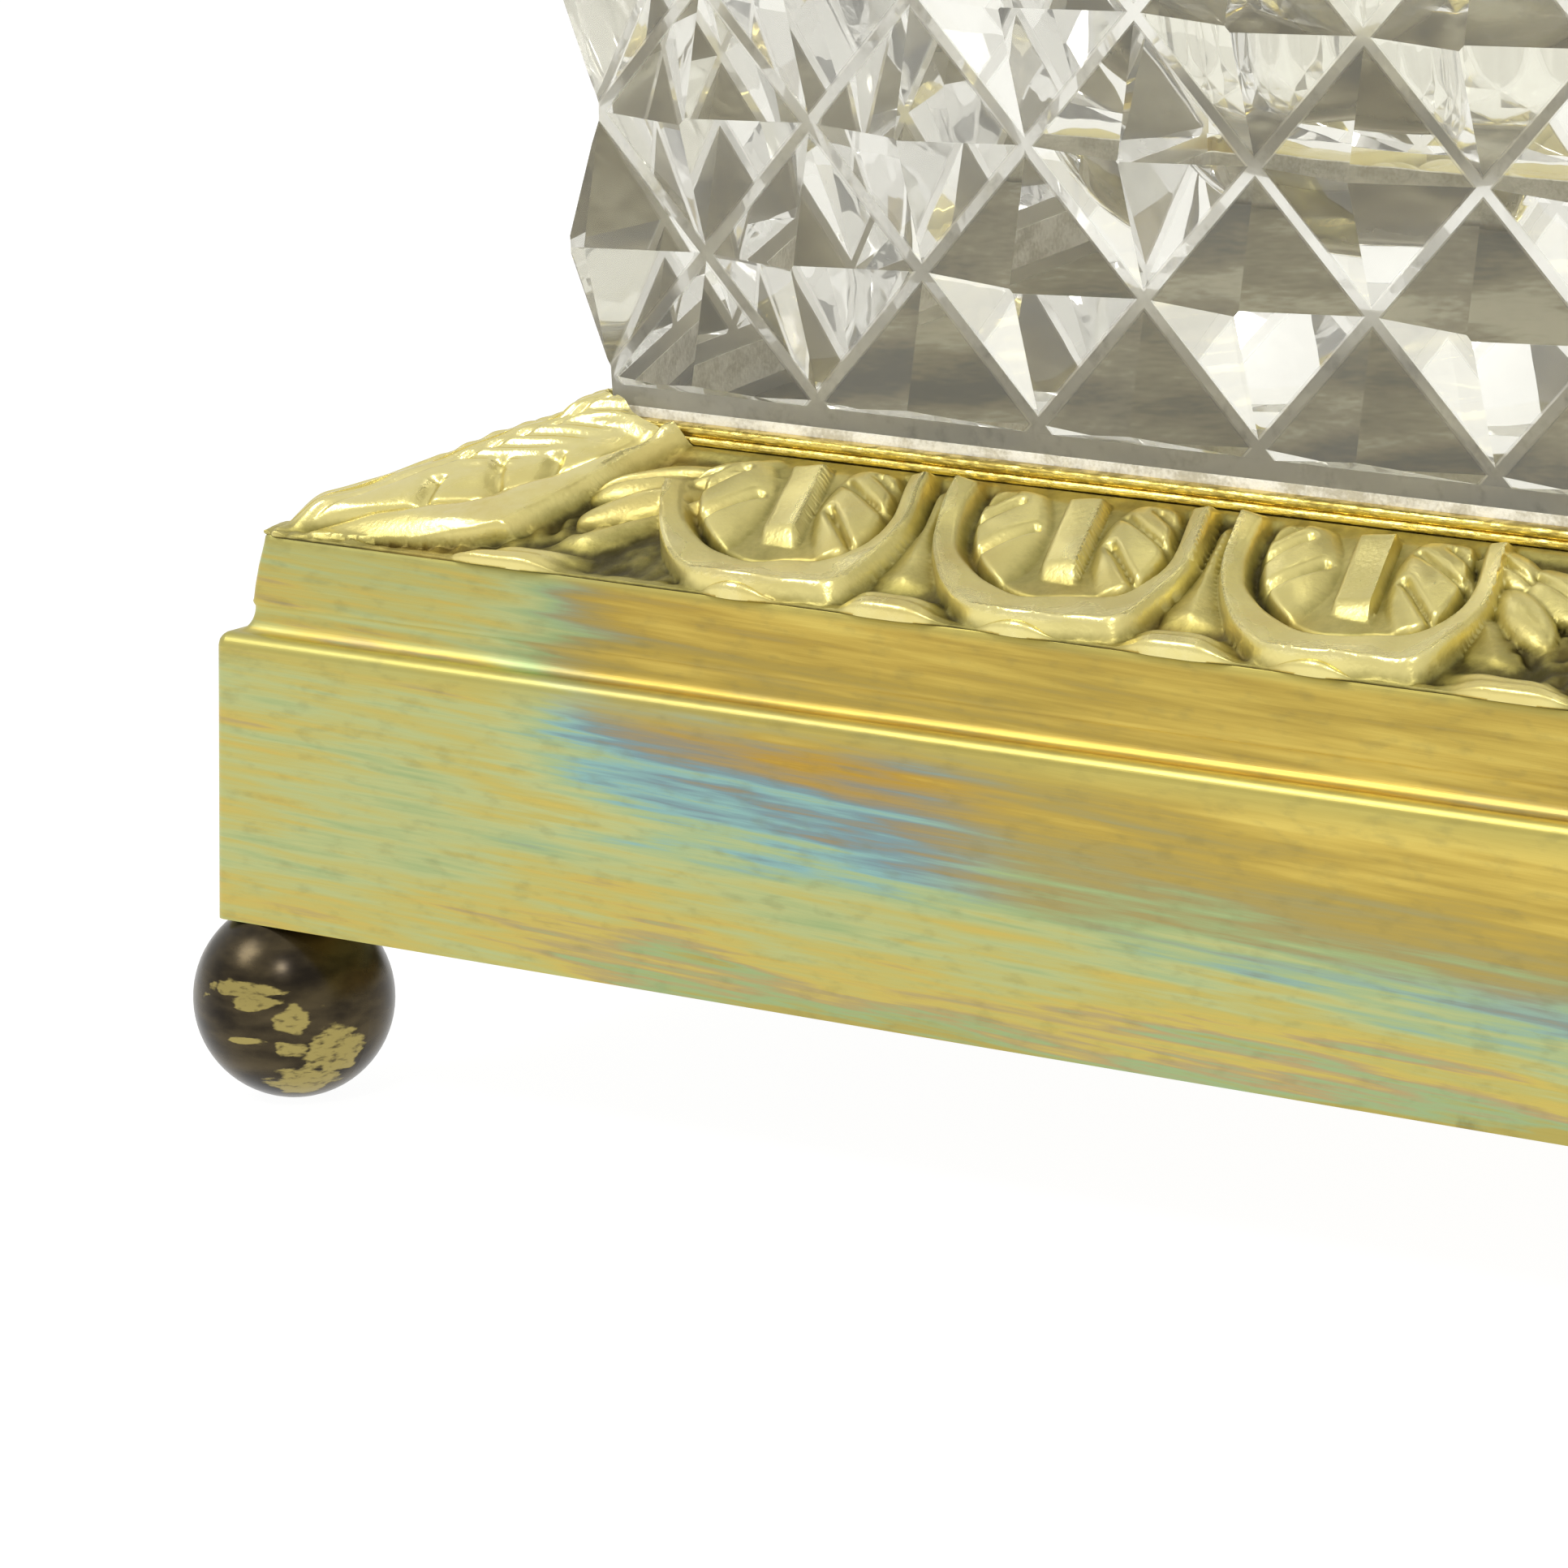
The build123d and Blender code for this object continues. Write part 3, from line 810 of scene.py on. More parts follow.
def make_piece(name: str, points: np.ndarray, faces: Faces, crease: float = 40.0) -> Object:
    """Make a closed piece with its faces outwards.

    The signed volume under the faces tells whether they point outwards; if it is negative, each
    face is turned round.

    Args:
        name: The piece's name.
        points: Corner places in millimetres.
        faces: Corner numbers of each face.
        crease: Edges bent by more than this many degrees stay sharp.

    Returns:
        The object.
    """
    fans = np.array([(face[0], face[i], face[i + 1]) for face in faces for i in range(1, len(face) - 1)])
    first, second, third = (points[fans[:, i]] for i in range(3))
    if np.einsum("ij,ij->i", first, np.cross(second, third)).sum() < 0:
        faces = [face[::-1] for face in faces]
    mesh = bpy.data.meshes.new(name)
    mesh.from_pydata((points * MM).tolist(), [], faces)
    mesh.polygons.foreach_set("use_smooth", np.ones(len(mesh.polygons), bool))
    mesh.set_sharp_from_angle(angle=math.radians(crease))
    piece = bpy.data.objects.new(name, mesh)
    bpy.context.scene.collection.objects.link(piece)
    return piece


def stand_for(piece: Object, finish: bpy.types.Material, nodes: Sequence[str]) -> None:
    """Give a new piece its finish and its place in the part; all of them belong to the base.

    Args:
        piece: The new piece.
        finish: Its material.
        nodes: The nodes that it replaces.
    """
    piece.data.materials.append(finish)
    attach(piece, "base")
    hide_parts(*nodes)
    LOG.info("%s: %d faces", piece.name, len(piece.data.polygons))


def dress(node: str, finish: bpy.types.Material) -> None:
    """Give a carried-over node its finish."""
    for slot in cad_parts[node].material_slots:
        slot.material = finish
    LOG.info("%s: dressed in %s", node, finish.name)


@dataclass(frozen=True)
class SquareRing:
    """A profile carried round a square with rounded corners."""

    corner: float
    along: int = 160
    round_steps: int = 6
    wander: float = 0.03

    def path(self, half: float) -> np.ndarray:
        """Points round the square.

        Each side runs straight between its corners, and each corner is a quarter circle that
        shrinks with the square.

        Args:
            half: Half the width of the square.

        Returns:
            One line of X and Y for each point.
        """
        corner = min(self.corner, half / 2)
        straight = half - corner
        side = np.linspace(-straight, straight, self.along, endpoint=False)
        angle = np.linspace(-math.pi / 2, 0, self.round_steps, endpoint=False)
        front = np.column_stack([side, np.full_like(side, -half)])
        bend = np.column_stack([straight + corner * np.cos(angle), -straight + corner * np.sin(angle)])
        quarter = np.vstack([front, bend])
        turns = [np.array([[math.cos(a), -math.sin(a)], [math.sin(a), math.cos(a)]])
                 for a in np.arange(4) * math.pi / 2]
        return np.vstack([quarter @ turn.T for turn in turns])

    def capped(self, name: str, profile: Profile, crease: float = 40.0) -> Object:
        """Make a piece whose profile starts and ends on the upright axis.

        Each point of the profile gives a square of that half width at that height, and the two on
        the axis are single points with a fan of triangles. A slight ripple moves the squares in
        and out, as handwork does.

        Args:
            name: The piece's name.
            profile: Half widths and heights, from the axis and back to it.
            crease: Edges bent by more than this many degrees stay sharp.

        Returns:
            The object.
        """
        rings = [self.path(half) for half, _ in profile[1:-1]]
        heights = [height for _, height in profile[1:-1]]
        count = len(rings[0])
        levels = [np.column_stack([ring, np.full(count, height)]) for ring, height in zip(rings, heights)]
        flat = np.vstack(levels)
        flat[:, :2] *= 1 + self.wander / 50 * ripple(flat[:, 0] + flat[:, 1], flat[:, 2] * 4, 17, 5)[:, None]
        low = len(flat)
        points = np.vstack([flat, [(0, 0, profile[0][1]), (0, 0, profile[-1][1])]])
        faces = quads(len(rings), count, False, True).tolist()
        last = (len(rings) - 1) * count
        for step in range(count):
            after = (step + 1) % count
            faces.append([low, after, step])
            faces.append([low + 1, last + step, last + after])
        return make_piece(name, points, faces, crease)


# ---------------------------------------------------------------- base


@dataclass(frozen=True)
class LeafBand:
    """Cast band of leaf ornament on the slope of the moulding, made as four mitred strips."""

    slope_run: float = 13.9
    top_half: float = 38.4
    top_z: float = 36.5
    foot_half: float = 51.55
    foot_z: float = 32.0
    thickness: float = 1.5
    lean: float = 6.0
    pitch: float = 19.0
    leaf_reach: float = 9.5
    tongue_half: float = 2.9
    last_tongue: float = 18.0
    last_tongue_half: float = 3.2
    last_tongue_share: float = 0.8
    rims_clear: Pair = (12.0, 15.0)
    mitre_rise: float = 0.075
    mitre_reach: Pair = (1.5, 5.5)
    column_power: float = 1.08
    least_lip: float = 0.06
    lip_fall: float = 0.62
    ground: float = -0.3
    columns: int = 560
    rows: int = 118
    lip_rows: int = 8
    corner_cut: float = 0.3

    def hip_edge(self, down: np.ndarray) -> np.ndarray:
        """How far the corner leaf reaches from the mitre, down the slope."""
        places = (0.0, 0.21, 0.42, 0.62, 0.79, 0.85, 0.92, 0.96, 1.0)
        return np.interp(down, places, (7.4, 8.8, 10.8, 12.5, 13.7, 12.9, 10.4, 5.9, 3.0))

    def hip_leaf(self, inward: np.ndarray, down: np.ndarray) -> np.ndarray:
        """Height of the corner leaf over the ground.

        Two lobes each side of a raised midrib, parted by a groove: each lobe is a sine arch, the
        grooves and nicks are bell-shaped cuts, and the crest is lifted most at the top.

        Args:
            inward: Distance from the mitre.
            down: Share of the way down the slope.

        Returns:
            Heights, 0 outside the leaf.
        """
        edge = self.hip_edge(down)
        split = np.interp(down, (0.0, 0.24, 0.64, 0.85, 1.0), (6.0, 7.4, 7.6, 3.6, 1.0))
        crest = np.interp(down, (-0.1, 0.06, 0.19, 0.31, 0.43, 0.56, 0.73, 0.92, 1.0),
                          (1.2, 0.95, 0.85, 0.75, 0.6, 0.45, 0.35, 0.3, 0.0))
        inner = 0.95 + 0.3 * np.sin(math.pi * np.clip(inward / split, 0, 1))
        inner = inner + crest * (1 - ease(inward, 0.0, 6.5))
        outer_share = np.clip((inward - split) / np.maximum(edge - split, 0.5), 0, 1)
        outer = 0.75 + 0.7 * np.sin(math.pi * np.clip(outer_share * 0.9, 0, 1)) ** 0.6
        leaf = np.where(inward < split, inner, outer)
        slope = down * self.slope_run
        leaf -= 0.75 * np.exp(-((inward - split) / 0.34) ** 2)
        for start, end in (((5.6, 10.0), (3.2, 7.9)), ((7.0, 7.9), (3.4, 5.4)), ((7.2, 5.8), (5.0, 4.0))):
            leaf -= 0.5 * nick(inward, slope, start, end)
        for place, depth in ((0.9, 0.2), (2.0, 0.22)):
            leaf -= depth * np.exp(-((inward - place * (0.6 + 0.4 * down)) / 0.2) ** 2)
        veins = np.sin(2 * math.pi * (slope * 0.75 + inward * 0.28))
        veined = ease(inward, 0.4, 1.4) * (1 - ease(inward, 3.5, 5.5)) * (1 - ease(down, 0.35, 0.55))
        leaf += 0.09 * veins * veined
        leaf += 0.04 * ripple(inward, slope, 3.0, 21)
        return leaf * ease(edge - inward, 0.0, 0.55) * (1 - 0.85 * ease(down, 0.80, 1.0))

    def unit(self, across: np.ndarray, down: np.ndarray) -> np.ndarray:
        """Height over the ground of one leaf in its U-shaped rim.

        The rim lies between two superellipses of exponent 2.5 whose arms run up to the tray. It
        rises outwards. Inside it stand a middle rib, rising to its right edge, and two domed lobes
        cut by slanting nicks.

        Args:
            across: Distance from the unit's middle, in millimetres, positive to the right.
            down: Share of the way down the slope.

        Returns:
            Heights, 0 outside the unit.
        """
        slope = down * self.slope_run
        share = np.abs(across) / self.leaf_reach
        reach = np.clip((down - 0.30) / 0.765, 0, None)
        ring = (share ** 2.5 + reach ** 2.5) ** 0.4
        wobble = 0.02 * ripple(across, slope, 6.0, 4)
        ring = ring + wobble
        inner = 0.73 - 0.11 * ease(down, 0.5, 0.85)
        width = np.clip((ring - inner) / (0.92 - inner), 0, 1)
        rim = (0.95 + 0.5 * width) * ease(ring - inner, -0.035, 0.035) * (1 - ease(ring, 0.88, 0.955))
        rim = rim * ease(down, 0.0, 0.1)
        inside = (1 - ease(ring - inner, -0.10, -0.03)) * ease(down, 0.02, 0.1)
        bed = 0.45 * inside
        rib = (0.95 + 0.35 * np.clip((across + 0.8) / 2.4, 0, 1)) * ease(across, -1.5, -0.8)
        rib = rib * (1 - ease(across, 1.35, 1.75)) * ease(down, 0.03, 0.13) * (1 - ease(down, 0.55, 0.72))
        shapes = [rim, rib, bed]
        lobes = (
            (-4.3, 5.1, 2.9, 5.4,
             (((-6.6, 5.2), (-4.0, 2.4)), ((-5.6, 7.8), (-2.4, 4.6)), ((-6.0, 2.6), (-4.9, 1.4)))),
            (4.6, 5.3, 2.9, 5.4,
             (((3.0, 2.4), (6.4, 5.0)), ((2.8, 5.4), (5.4, 8.8)), ((5.0, 1.6), (6.6, 2.9)))),
        )
        for middle, height, wide, tall, nicks in lobes:
            away = ((across - middle) / wide) ** 2 + ((slope - height) / tall) ** 2
            lobe = 1.15 * np.clip(1 - away, 0, 1) ** 0.4 * inside
            for start, end in nicks:
                lobe = lobe - 0.55 * nick(across, slope, start, end) * (away < 1)
            shapes.append(lobe)
        return np.maximum.reduce(shapes) - 0.3 * np.exp(-((ring - 1.0) / 0.03) ** 2) * ease(down, 0.1, 0.2)

    def dart(self, across: np.ndarray, down: np.ndarray, wide: float) -> np.ndarray:
        """Height over the ground of the small tongue between two rims, and of the spear above it.

        Args:
            across: Distance from the middle of the tongue.
            down: Share of the way down the slope.
            wide: About half the width of the tongue.

        Returns:
            Heights, 0 outside both.
        """
        tongue = np.exp(-(across / wide) ** 4) * ease(down, 0.83, 0.92)
        narrow = 0.6 + 1.5 * ease(down, 0.35, 0.8)
        spear = 0.75 * np.clip(1 - np.abs(across) / narrow, 0, 1) ** 0.6 * ease(down, 0.05, 0.2)
        return np.maximum(tongue, spear * (1 - ease(down, 0.74, 0.84)))

    def sprig(self, inward: np.ndarray, down: np.ndarray) -> np.ndarray:
        """Height over the ground of the small curled leaf between the corner leaf and the first rim.

        Three overlapping domes, each a quarter turn of an ellipse in section, cut by two nicks.

        Args:
            inward: Distance from the mitre.
            down: Share of the way down the slope.

        Returns:
            Heights, 0 outside the leaf.
        """
        slope = down * self.slope_run
        leaf = np.zeros_like(slope)
        domes = ((12.2, 4.3, 2.5, 2.5), (14.9, 2.6, 2.2, 2.0), (15.2, 6.6, 2.0, 2.6))
        for middle, height, wide, tall in domes:
            away = ((inward - middle) / wide) ** 2 + ((slope - height) / tall) ** 2
            leaf = np.maximum(leaf, np.clip(1 - away, 0, 1) ** 0.5)
        for start, end in (((11.0, 5.6), (13.4, 3.2)), ((14.0, 3.6), (16.4, 1.6))):
            leaf = leaf - 0.4 * nick(inward, slope, start, end) * (leaf > 0)
        return np.maximum(leaf, 0)

    def relief(self, run: np.ndarray, down: np.ndarray) -> np.ndarray:
        """Height of the casting over the plane of the slope.

        Args:
            run: Distance along the side from its middle, positive to the right.
            down: Share of the way down the slope.

        Returns:
            Heights in millimetres.
        """
        half = self.top_half + (self.foot_half - self.top_half) * down
        inward = np.maximum(half - np.abs(run), 0)
        slope = down * self.slope_run
        shifted = run - self.lean * (down - 0.5)
        sunk = self.ground * ease(down, 0.02, 0.09) * (1 - ease(down, 0.93, 0.98))
        rise = self.hip_leaf(inward, down)
        clear = ease(inward, *self.rims_clear)
        for number in (-1, 0, 1):
            rise = np.maximum(rise, self.unit(shifted - number * self.pitch, down) * clear)
        for number in (-0.5, 0.5):
            rise = np.maximum(rise, self.dart(shifted - number * self.pitch, down, self.tongue_half))
        rise = np.maximum(rise, self.dart(inward - self.last_tongue, down, self.last_tongue_half)
                          * self.last_tongue_share)
        rise = np.maximum(rise, self.sprig(inward, down))
        pebbles = ripple(run, slope, 1.5, 8) * (1 - ease(rise, 0.1, 0.5)) * ease(down, 0.05, 0.15)
        uneven = 0.05 * ripple(run, slope, 4.4, 9)
        clear_corner = ease(inward, 19.0, 16.0)
        return sunk + rise + 0.04 * pebbles * (1 + 2 * clear_corner) + uneven * ease(down, 0.0, 0.1)

    def strip(self, side: Side) -> Object:
        """Make one side's strip, closed all round.

        The front strip is worked out first: columns run from mitre to mitre, rows run down the
        slope at the relief's height, round the lip and back underneath. Widths grow with the
        height, so the ends stay on the mitre planes. Then it is turned to its side.

        Args:
            side: Which side.

        Returns:
            The object, with its relief stored on its points.
        """
        share = np.linspace(-1, 1, self.columns)
        share = np.sign(share) * (1 - (1 - np.abs(share)) ** self.column_power)
        steps = np.linspace(0, 1, self.rows)
        across, down = np.meshgrid(share, steps)
        corner = (1 - np.abs(across)) * (self.top_half + 6.5)
        down = down - self.mitre_rise * (1 - ease(corner, *self.mitre_reach)) * (1 - down)
        half = self.top_half + (self.foot_half - self.top_half) * down
        level = self.top_z + (self.foot_z - self.top_z) * down
        height = self.relief(across * half, down)
        run = math.hypot(self.foot_half - self.top_half, self.top_z - self.foot_z)
        out, up = (self.top_z - self.foot_z) / run, (self.foot_half - self.top_half) / run
        halves = [half + out * height]
        levels = [level + up * height]
        edge = np.maximum(height[-1:], self.least_lip)
        turn = np.linspace(0, 1, self.lip_rows + 1)[1:, None] * math.pi / 2
        halves.append(self.foot_half + edge * (out * np.cos(turn) + self.lip_fall * np.sin(turn)))
        levels.append(self.foot_z + edge * up * np.cos(turn))
        wide = np.ones((1, self.columns))
        for under_half, under_level in (
            (self.foot_half, self.foot_z - 0.12),
            (self.foot_half - 0.4, self.foot_z - 0.45),
            (self.top_half - 0.2, self.top_z - self.thickness),
        ):
            halves.append(wide * under_half)
            levels.append(wide * under_level)
        half_grid, level_grid = np.vstack(halves), np.vstack(levels)
        inward = (1 - np.abs(share))[None, :] * half_grid
        half_grid = half_grid - self.corner_cut * (1 - ease(inward, 0, 1.2))
        points = np.stack([share[None, :] * half_grid, -half_grid, level_grid], axis=-1).reshape(-1, 3)
        angle = side.value * math.pi / 2
        cosine, sine = math.cos(angle), math.sin(angle)
        turned = np.array([[cosine, -sine, 0], [sine, cosine, 0], [0, 0, 1]])
        count = len(half_grid)
        faces = quads(count, self.columns, True, False).tolist()
        faces.append([row * self.columns for row in range(count)])
        faces.append([row * self.columns + self.columns - 1 for row in reversed(range(count))])
        piece = make_piece(f"leaf_band_{side.name.lower()}", points @ turned.T, faces, 60.0)
        top = np.clip((height + 0.45) / 1.5, 0, 1)
        lip = np.repeat(top[-1:], self.lip_rows, axis=0)
        shown = np.vstack([top, lip, np.zeros((3, self.columns))])
        store = piece.data.attributes.new("relief", "FLOAT", "POINT")
        store.data.foreach_set("value", shown.reshape(-1).astype(np.float32))
        return piece


@dataclass(frozen=True)
class Base:
    """Plinth, moulding with its leaf band, tray and tie screws."""

    band_half: float = 52.15
    band_top_half: float = 51.55
    band_low_z: float = 26.6
    band_top_z: float = 32.0
    tray_floor_z: float = 33.8
    slope_top_half: float = 38.2
    deck: float = 4.0
    wall: float = 6.0
    bead_half: float = 38.4
    bead_top_z: float = 37.6
    sheet: float = 0.6
    fit: float = 0.02
    round_size: float = 0.30
    leaves: LeafBand = LeafBand()

    def moulding(self) -> Object:
        """Make the moulding without its leaf band: cove, upright band, core of the slope and deck.

        Returns:
            The object.
        """
        low, top = self.band_low_z, self.band_top_z
        inner = self.band_top_half - self.wall
        under = self.tray_floor_z - self.deck
        cove = [(self.band_half - 0.06 + 0.76 * (1 - math.sin(a)), low + 1.45 * (1 - math.cos(a)))
                for a in np.linspace(0.0, 1.5, 12)]
        profile = [
            (0, under), (inner, under), (inner, low), *cove,
            (self.band_half, low + 1.5), (self.band_half + 0.03, low + 1.62),
            (self.band_half - 0.02, low + 1.8), (self.band_half - 0.12, low + 2.5),
            (self.band_half - 0.3, low + 3.6),
            (self.band_top_half + 0.08, top - 0.55), (self.band_top_half + 0.02, top - 0.18),
            (self.band_top_half - 0.1, top - 0.02), (self.band_top_half - 0.5, top - 0.3),
            (self.slope_top_half - self.fit, self.tray_floor_z + 0.9),
            (self.slope_top_half - self.fit, self.tray_floor_z), (0, self.tray_floor_z),
        ]
        return SquareRing(corner=0.7).capped("moulding", profile, 50.0)

    def tray(self) -> Object:
        """Make the sheet tray: floor, wall, and a rim rolled into two fine rounds.

        Returns:
            The object.
        """
        floor = self.tray_floor_z
        wall = self.slope_top_half - self.fit
        rounds = []
        size = self.round_size
        for centre_z, reach in ((36.74, 0.02), (37.30, 0.0)):
            angles = np.linspace(-1.25, 1.25, 9)
            rounds += [(self.bead_half - size + reach + size * math.cos(a), centre_z + size * math.sin(a))
                       for a in angles]
        profile = [(0, floor), (wall, floor), (wall, 36.3), *rounds,
                   (self.bead_half - 0.42, self.bead_top_z), (wall - self.sheet, self.bead_top_z),
                   (wall - self.sheet, floor + self.sheet), (0, floor + self.sheet)]
        return SquareRing(corner=0.5, along=300, wander=0.05).capped("tray", profile, 60.0)

    def build(self) -> None:
        """Build and dress every piece of the base."""
        cast = CastBrass().material()
        for side in Side:
            piece = self.leaves.strip(side)
            stand_for(piece, cast, ["base_moulding"])
        band = TarnishedBrass(
            "tarnished_band", self.band_low_z, self.band_top_z,
            film_at_top=0.14, film_at_foot=0.26, film_per_mm=-0.002, film_at_left=0.68, blue_share=0.2,
        )
        stand_for(self.moulding(), band.material(), ["base_moulding"])
        stand_for(self.tray(), BrightBrass().material(), ["seat_tray"])
        low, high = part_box("base_plinth")
        plinth = TarnishedBrass("tarnished_plinth", low.z / MM, high.z / MM)
        dress("base_plinth", plinth.material())
        dress("tie_screws", TurnedBrass("screw_brass", roughness=0.34).material())


@dataclass(frozen=True)
class Feet:
    """The four ball feet."""

    names: tuple[str, ...] = ("foot_front_left", "foot_front_right", "foot_back_left", "foot_back_right")
    ball_z: float = 5.55

    def build(self) -> None:
        """Dress every foot, with rubbed patches placed on the one in front on the left."""
        low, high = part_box(self.names[0])
        centre = (low + high) / 2 / MM
        middle = Vector((centre.x, centre.y, self.ball_z))
        patches = (
            (middle + Vector((1.0, -5.2, 1.7)), (2.3, 2.0, 0.42)),
            (middle + Vector((1.7, -5.2, 1.0)), (1.5, 2.0, 0.42)),
            (middle + Vector((4.9, -2.0, -2.1)), (2.4, 1.6, 1.9)),
            (middle + Vector((3.4, -2.6, -3.9)), (2.8, 2.0, 1.1)),
            (middle + Vector((3.7, -4.2, 0.0)), (1.0, 1.2, 0.8)),
            (middle + Vector((3.4, -4.2, -1.7)), (0.9, 1.5, 0.5)),
            (middle + Vector((1.2, -5.2, -1.2)), (1.3, 1.4, 0.22)),
        )
        shapes = tuple((tuple(place), reach) for place, reach in patches)
        finish = DarkBronze("ball_bronze", shapes).material()
        for name in self.names:
            dress(name, finish)


@dataclass(frozen=True)
class Crystal:
    """The cut crystal block, and the plaster that it is bedded in."""

    well_r: float = 17.5
    neck_low_z: float = 105.4
    edge_width: float = 0.06
    shortest_edge: float = 0.16
    edge_angle: float = 12.0
    flat_angle: float = 0.2
    reach: float = 0.2
    bed_half: float = 37.56
    gap: float = 0.02
    bed_low_z: float = 34.42
    bed_top_z: float = 34.95
    rim_z: float = 38.15
    band_half: float = 37.4
    stuck_below_z: float = 35.2
    stain_rise: float = 0.4

    def merged(self) -> tuple[np.ndarray, list[list[int]]]:
        """Read the part's own crystal with its loose triangles joined.

        Corners that lie within a ten-thousandth of a millimetre count as one.

        Returns:
            Corner places in millimetres, and the corner numbers of each triangle.
        """
        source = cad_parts["crystal_block"].data
        places = np.empty(len(source.vertices) * 3, np.float32)
        source.vertices.foreach_get("co", places)
        source.calc_loop_triangles()
        corners = np.empty(len(source.loop_triangles) * 3, np.int32)
        source.loop_triangles.foreach_get("vertices", corners)
        points, number = np.unique(np.round(places.reshape(-1, 3) / MM, 4), axis=0, return_inverse=True)
        faces = number.reshape(-1)[corners].reshape(-1, 3)
        whole = (faces[:, 0] != faces[:, 1]) & (faces[:, 1] != faces[:, 2]) & (faces[:, 0] != faces[:, 2])
        return points.astype(float), faces[whole].tolist()

    def block(self) -> Object:
        """Make the crystal, with its underside marked as bedded.

        Corners close together are merged and triangles in one plane are joined into whole facets.
        The facets are shaded flat, and the round neck and well smooth. The bevel is meant to dull
        the edges between facets, but its clamp leaves the strips under a thousandth of a
        millimetre wide, so they hardly show.

        Returns:
            The object.
        """
        points, faces = self.merged()
        piece = make_piece("crystal", points, faces, self.edge_angle)
        work = bmesh.new()
        work.from_mesh(piece.data)
        bmesh.ops.remove_doubles(work, verts=work.verts, dist=self.shortest_edge * MM)
        flat = math.radians(self.flat_angle)
        bmesh.ops.dissolve_limit(work, angle_limit=flat, verts=work.verts, edges=work.edges)
        for face in work.faces:
            middle = face.calc_center_median() / MM
            inside = math.hypot(middle.x, middle.y) < self.well_r + self.reach
            face.smooth = inside or middle.z > self.neck_low_z + self.reach
            face.material_index = 2 if middle.z < self.stuck_below_z else 0
        work.to_mesh(piece.data)
        work.free()
        piece.data.set_sharp_from_angle(angle=math.radians(self.edge_angle))
        edge = piece.modifiers.new("dulled edges", "BEVEL")
        edge.width = self.edge_width * MM
        edge.segments = 1
        edge.limit_method = "ANGLE"
        edge.angle_limit = math.radians(self.edge_angle)
        edge.use_clamp_overlap = True
        edge.material = 1
        return piece

    def bed(self) -> Object:
        """Make the plaster bed: a floor just clear of the crystal and a rim pressed up round it.

        Returns:
            The object.
        """
        profile = [
            (0, self.bed_low_z), (self.bed_half, self.bed_low_z), (self.bed_half, self.rim_z - 0.1),
            (self.bed_half - 0.05, self.rim_z), (self.band_half + self.gap, self.rim_z - 0.03),
            (self.band_half + self.gap, self.bed_top_z), (0, self.bed_top_z),
        ]
        return SquareRing(corner=0.3, along=120, wander=0.0).capped("bedding", profile, 60.0)

    def build(self) -> None:
        """Build and dress the crystal and its bed."""
        block = self.block()
        stand_for(block, CutCrystal().material(), ["crystal_block"])
        block.data.materials.append(DulledCrystal().material())
        block.data.materials.append(BeddedFace().material())
        plaster = Plaster("bedding_plaster", self.bed_top_z + self.stain_rise).material()
        stand_for(self.bed(), plaster, ["cement_bed"])


@dataclass(frozen=True)
class Collar:
    """Collar on the neck, with the plaster under it and the fixed part of the hinge."""

    def build(self) -> None:
        """Dress the collar's pieces."""
        dress("neck_cement", Plaster("neck_plaster").material())
        brass = TurnedBrass("collar_brass").material()
        for name in ("neck_collar", "collar_knuckles"):
            dress(name, brass)
        dress("hinge_pin", TurnedBrass("pin_brass", roughness=0.32).material())


@dataclass(frozen=True)
class Lid:
    """The hinged lid: ring, lining, dome, finial, thumb tab and its part of the hinge."""

    def build(self) -> None:
        """Dress the lid's pieces."""
        ring = TurnedBrass("lid_ring_brass").material()
        for name in ("lid_ring", "lid_knuckle", "thumb_tab"):
            dress(name, ring)
        dress("lid_dome", TurnedBrass("dome_brass", ring_depth=0.01).material())
        dress("lid_lining", TurnedBrass("lining_brass", roughness=0.3).material())
        fastening = TurnedBrass("nut_brass", roughness=0.34).material()
        for name in ("finial_washer", "finial_nut"):
            dress(name, fastening)
        dress("finial", DarkBronze("finial_bronze").material())


# ---------------------------------------------------------------- stage


@dataclass(frozen=True)
class Lamp:
    """A square soft lamp."""

    name: str
    place: Point
    aim: Point
    size: float
    power: float
    colour: Colour = (1.0, 1.0, 1.0)

    def build(self) -> None:
        """Hang the lamp and point it."""
        light = bpy.data.lights.new(self.name, "AREA")
        light.size = self.size * MM
        light.energy = self.power
        light.color = self.colour
        lamp = bpy.data.objects.new(self.name, light)
        lamp.location = Vector(self.place) * MM
        heading = (Vector(self.aim) - Vector(self.place)).to_track_quat("-Z", "Y")
        lamp.rotation_euler = heading.to_euler()
        bpy.context.scene.collection.objects.link(lamp)


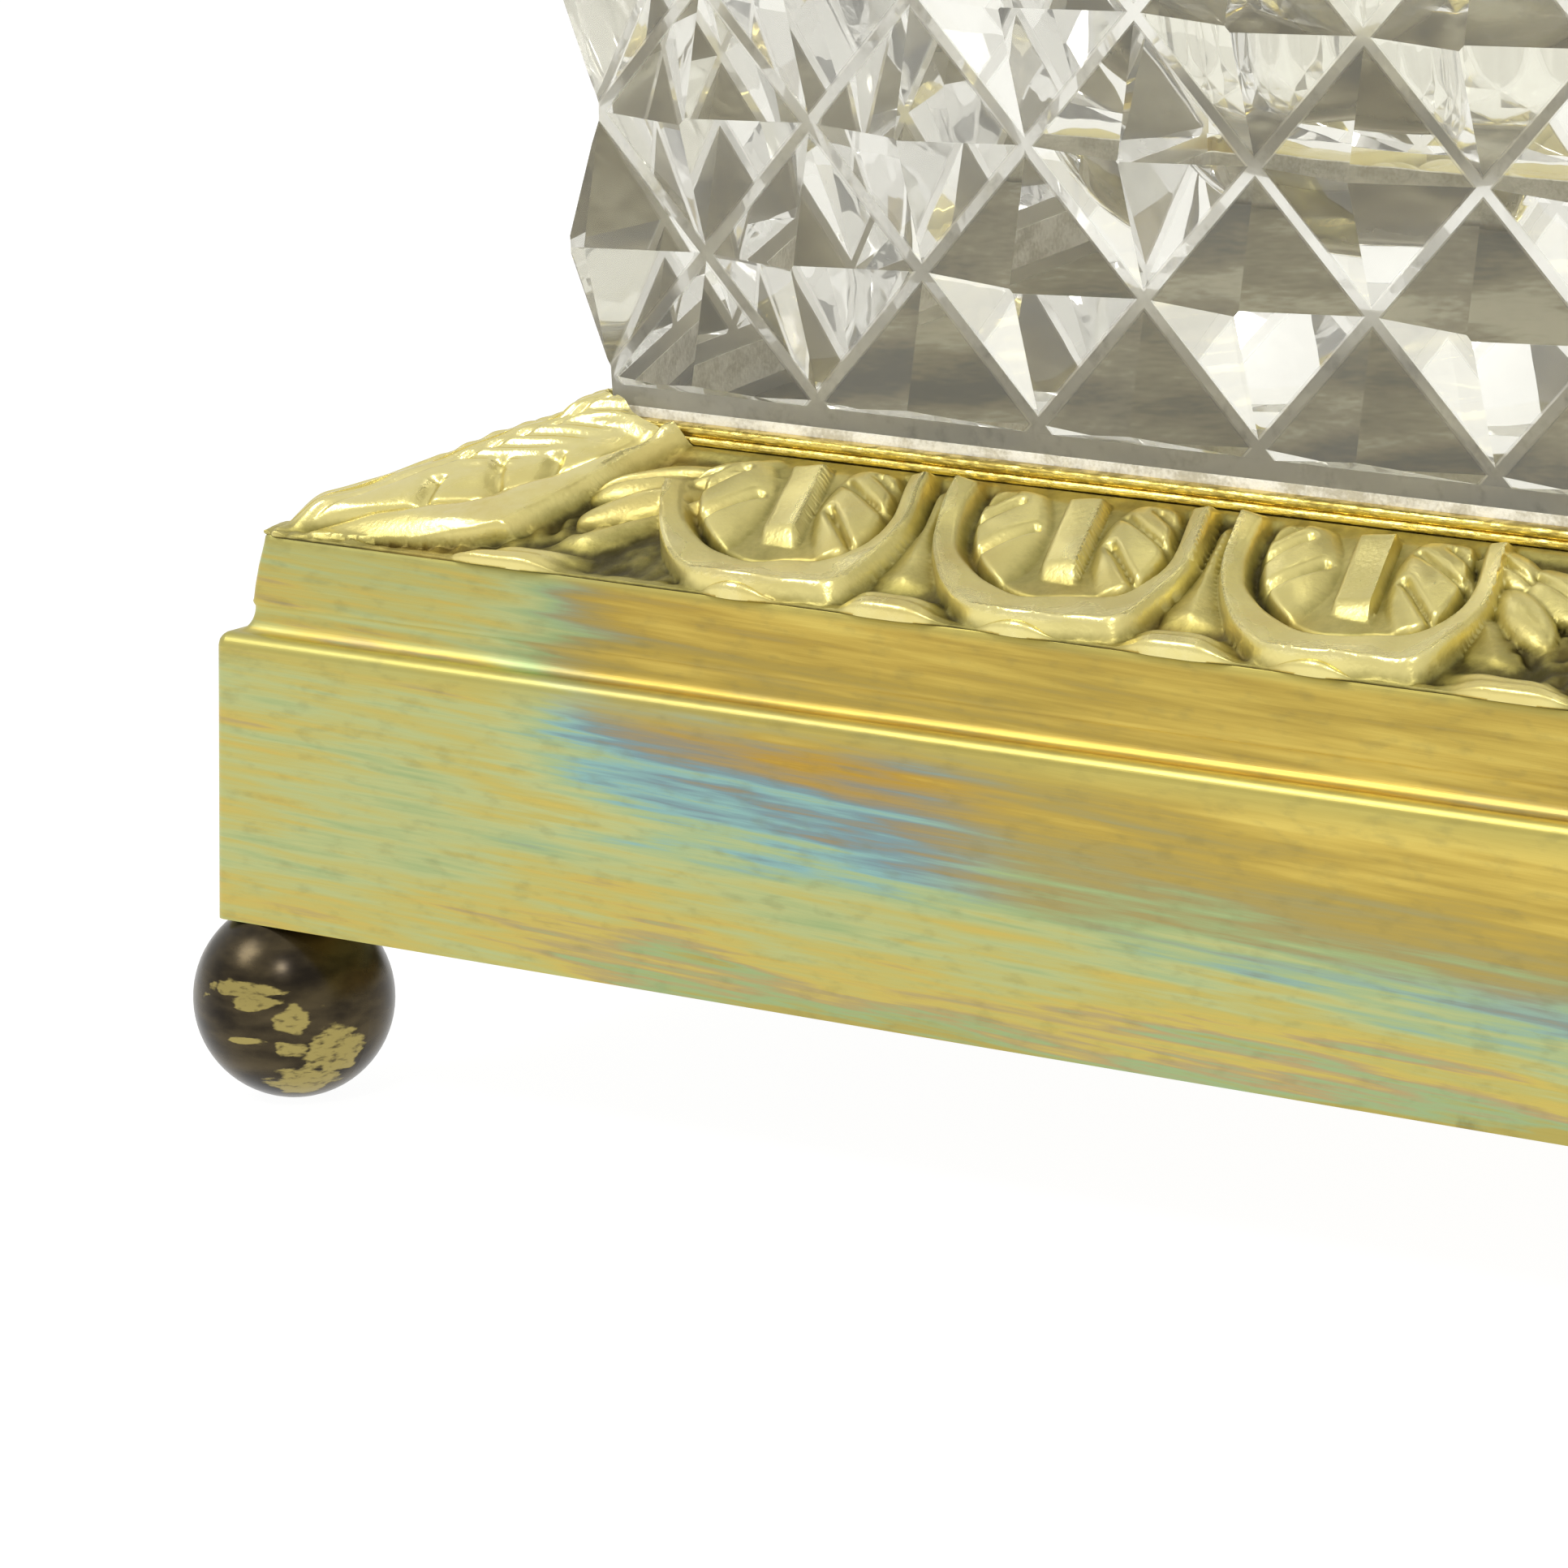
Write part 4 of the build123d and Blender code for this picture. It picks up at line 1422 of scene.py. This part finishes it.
@dataclass(frozen=True)
class Studio:
    """Pale floor, soft light all round, lamps and camera."""

    floor_half: float = 3000.0
    sky: float = 0.78
    sky_colour: Colour = (1.0, 0.99, 0.955)
    lamps: tuple[Lamp, ...] = (
        Lamp("key", (-290, -300, 400), (0, -40, 30), 170, 0.7),
        Lamp("front", (110, -370, 390), (-20, -40, 20), 60, 0.55),
        Lamp("high", (160, 320, 640), (0, 0, 40), 300, 2.4),
    )
    lens: float = 222.2
    sensor: float = 36.0
    eye: Point = (310.72, -431.40, 138.68)
    eye_right: Point = (0.76559, 0.64193, -0.04253)
    eye_up: Point = (-0.11427, 0.20075, 0.97296)

    def floor(self) -> None:
        """Lay the floor."""
        reach = self.floor_half * MM
        corners = [(-reach, -reach, 0), (reach, -reach, 0), (reach, reach, 0), (-reach, reach, 0)]
        mesh = bpy.data.meshes.new("floor")
        mesh.from_pydata(corners, [], [(0, 1, 2, 3)])
        mesh.materials.append(PaleFloor().material())
        floor = bpy.data.objects.new("floor", mesh)
        bpy.context.scene.collection.objects.link(floor)

    def light(self) -> None:
        """Light the scene: an even sky and three lamps."""
        world = bpy.data.worlds.new("studio")
        world.use_nodes = True
        back = world.node_tree.nodes["Background"]
        back.inputs["Color"].default_value = (*self.sky_colour, 1.0)
        back.inputs["Strength"].default_value = self.sky
        bpy.context.scene.world = world
        for lamp in self.lamps:
            lamp.build()

    def camera(self) -> None:
        """Set up the camera."""
        right = Vector(self.eye_right).normalized()
        up = (Vector(self.eye_up) - right * Vector(self.eye_up).dot(right)).normalized()
        back = right.cross(up)
        data = bpy.data.cameras.new("camera")
        data.lens = self.lens
        data.sensor_width = self.sensor
        data.clip_start = 0.01
        camera = bpy.data.objects.new("camera", data)
        turn = Matrix((right, up, back)).transposed().to_4x4()
        camera.matrix_world = Matrix.Translation(Vector(self.eye) * MM) @ turn
        bpy.context.scene.collection.objects.link(camera)
        bpy.context.scene.camera = camera

    def build(self) -> None:
        """Build the whole stage."""
        self.floor()
        self.light()
        self.camera()
        bpy.context.scene.view_settings.view_transform = "Standard"


def write_size() -> None:
    """Bring the scene's view layer up to date."""
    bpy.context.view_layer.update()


def main() -> None:
    """Build every sub-assembly in turn."""
    logging.basicConfig(level=logging.INFO, format="%(message)s")
    for assembly in (Base(), Feet(), Crystal(), Collar(), Lid(), Studio()):
        LOG.info("building %s", type(assembly).__name__)
        assembly.build()
    write_size()


if __name__ == "__main__":
    main()
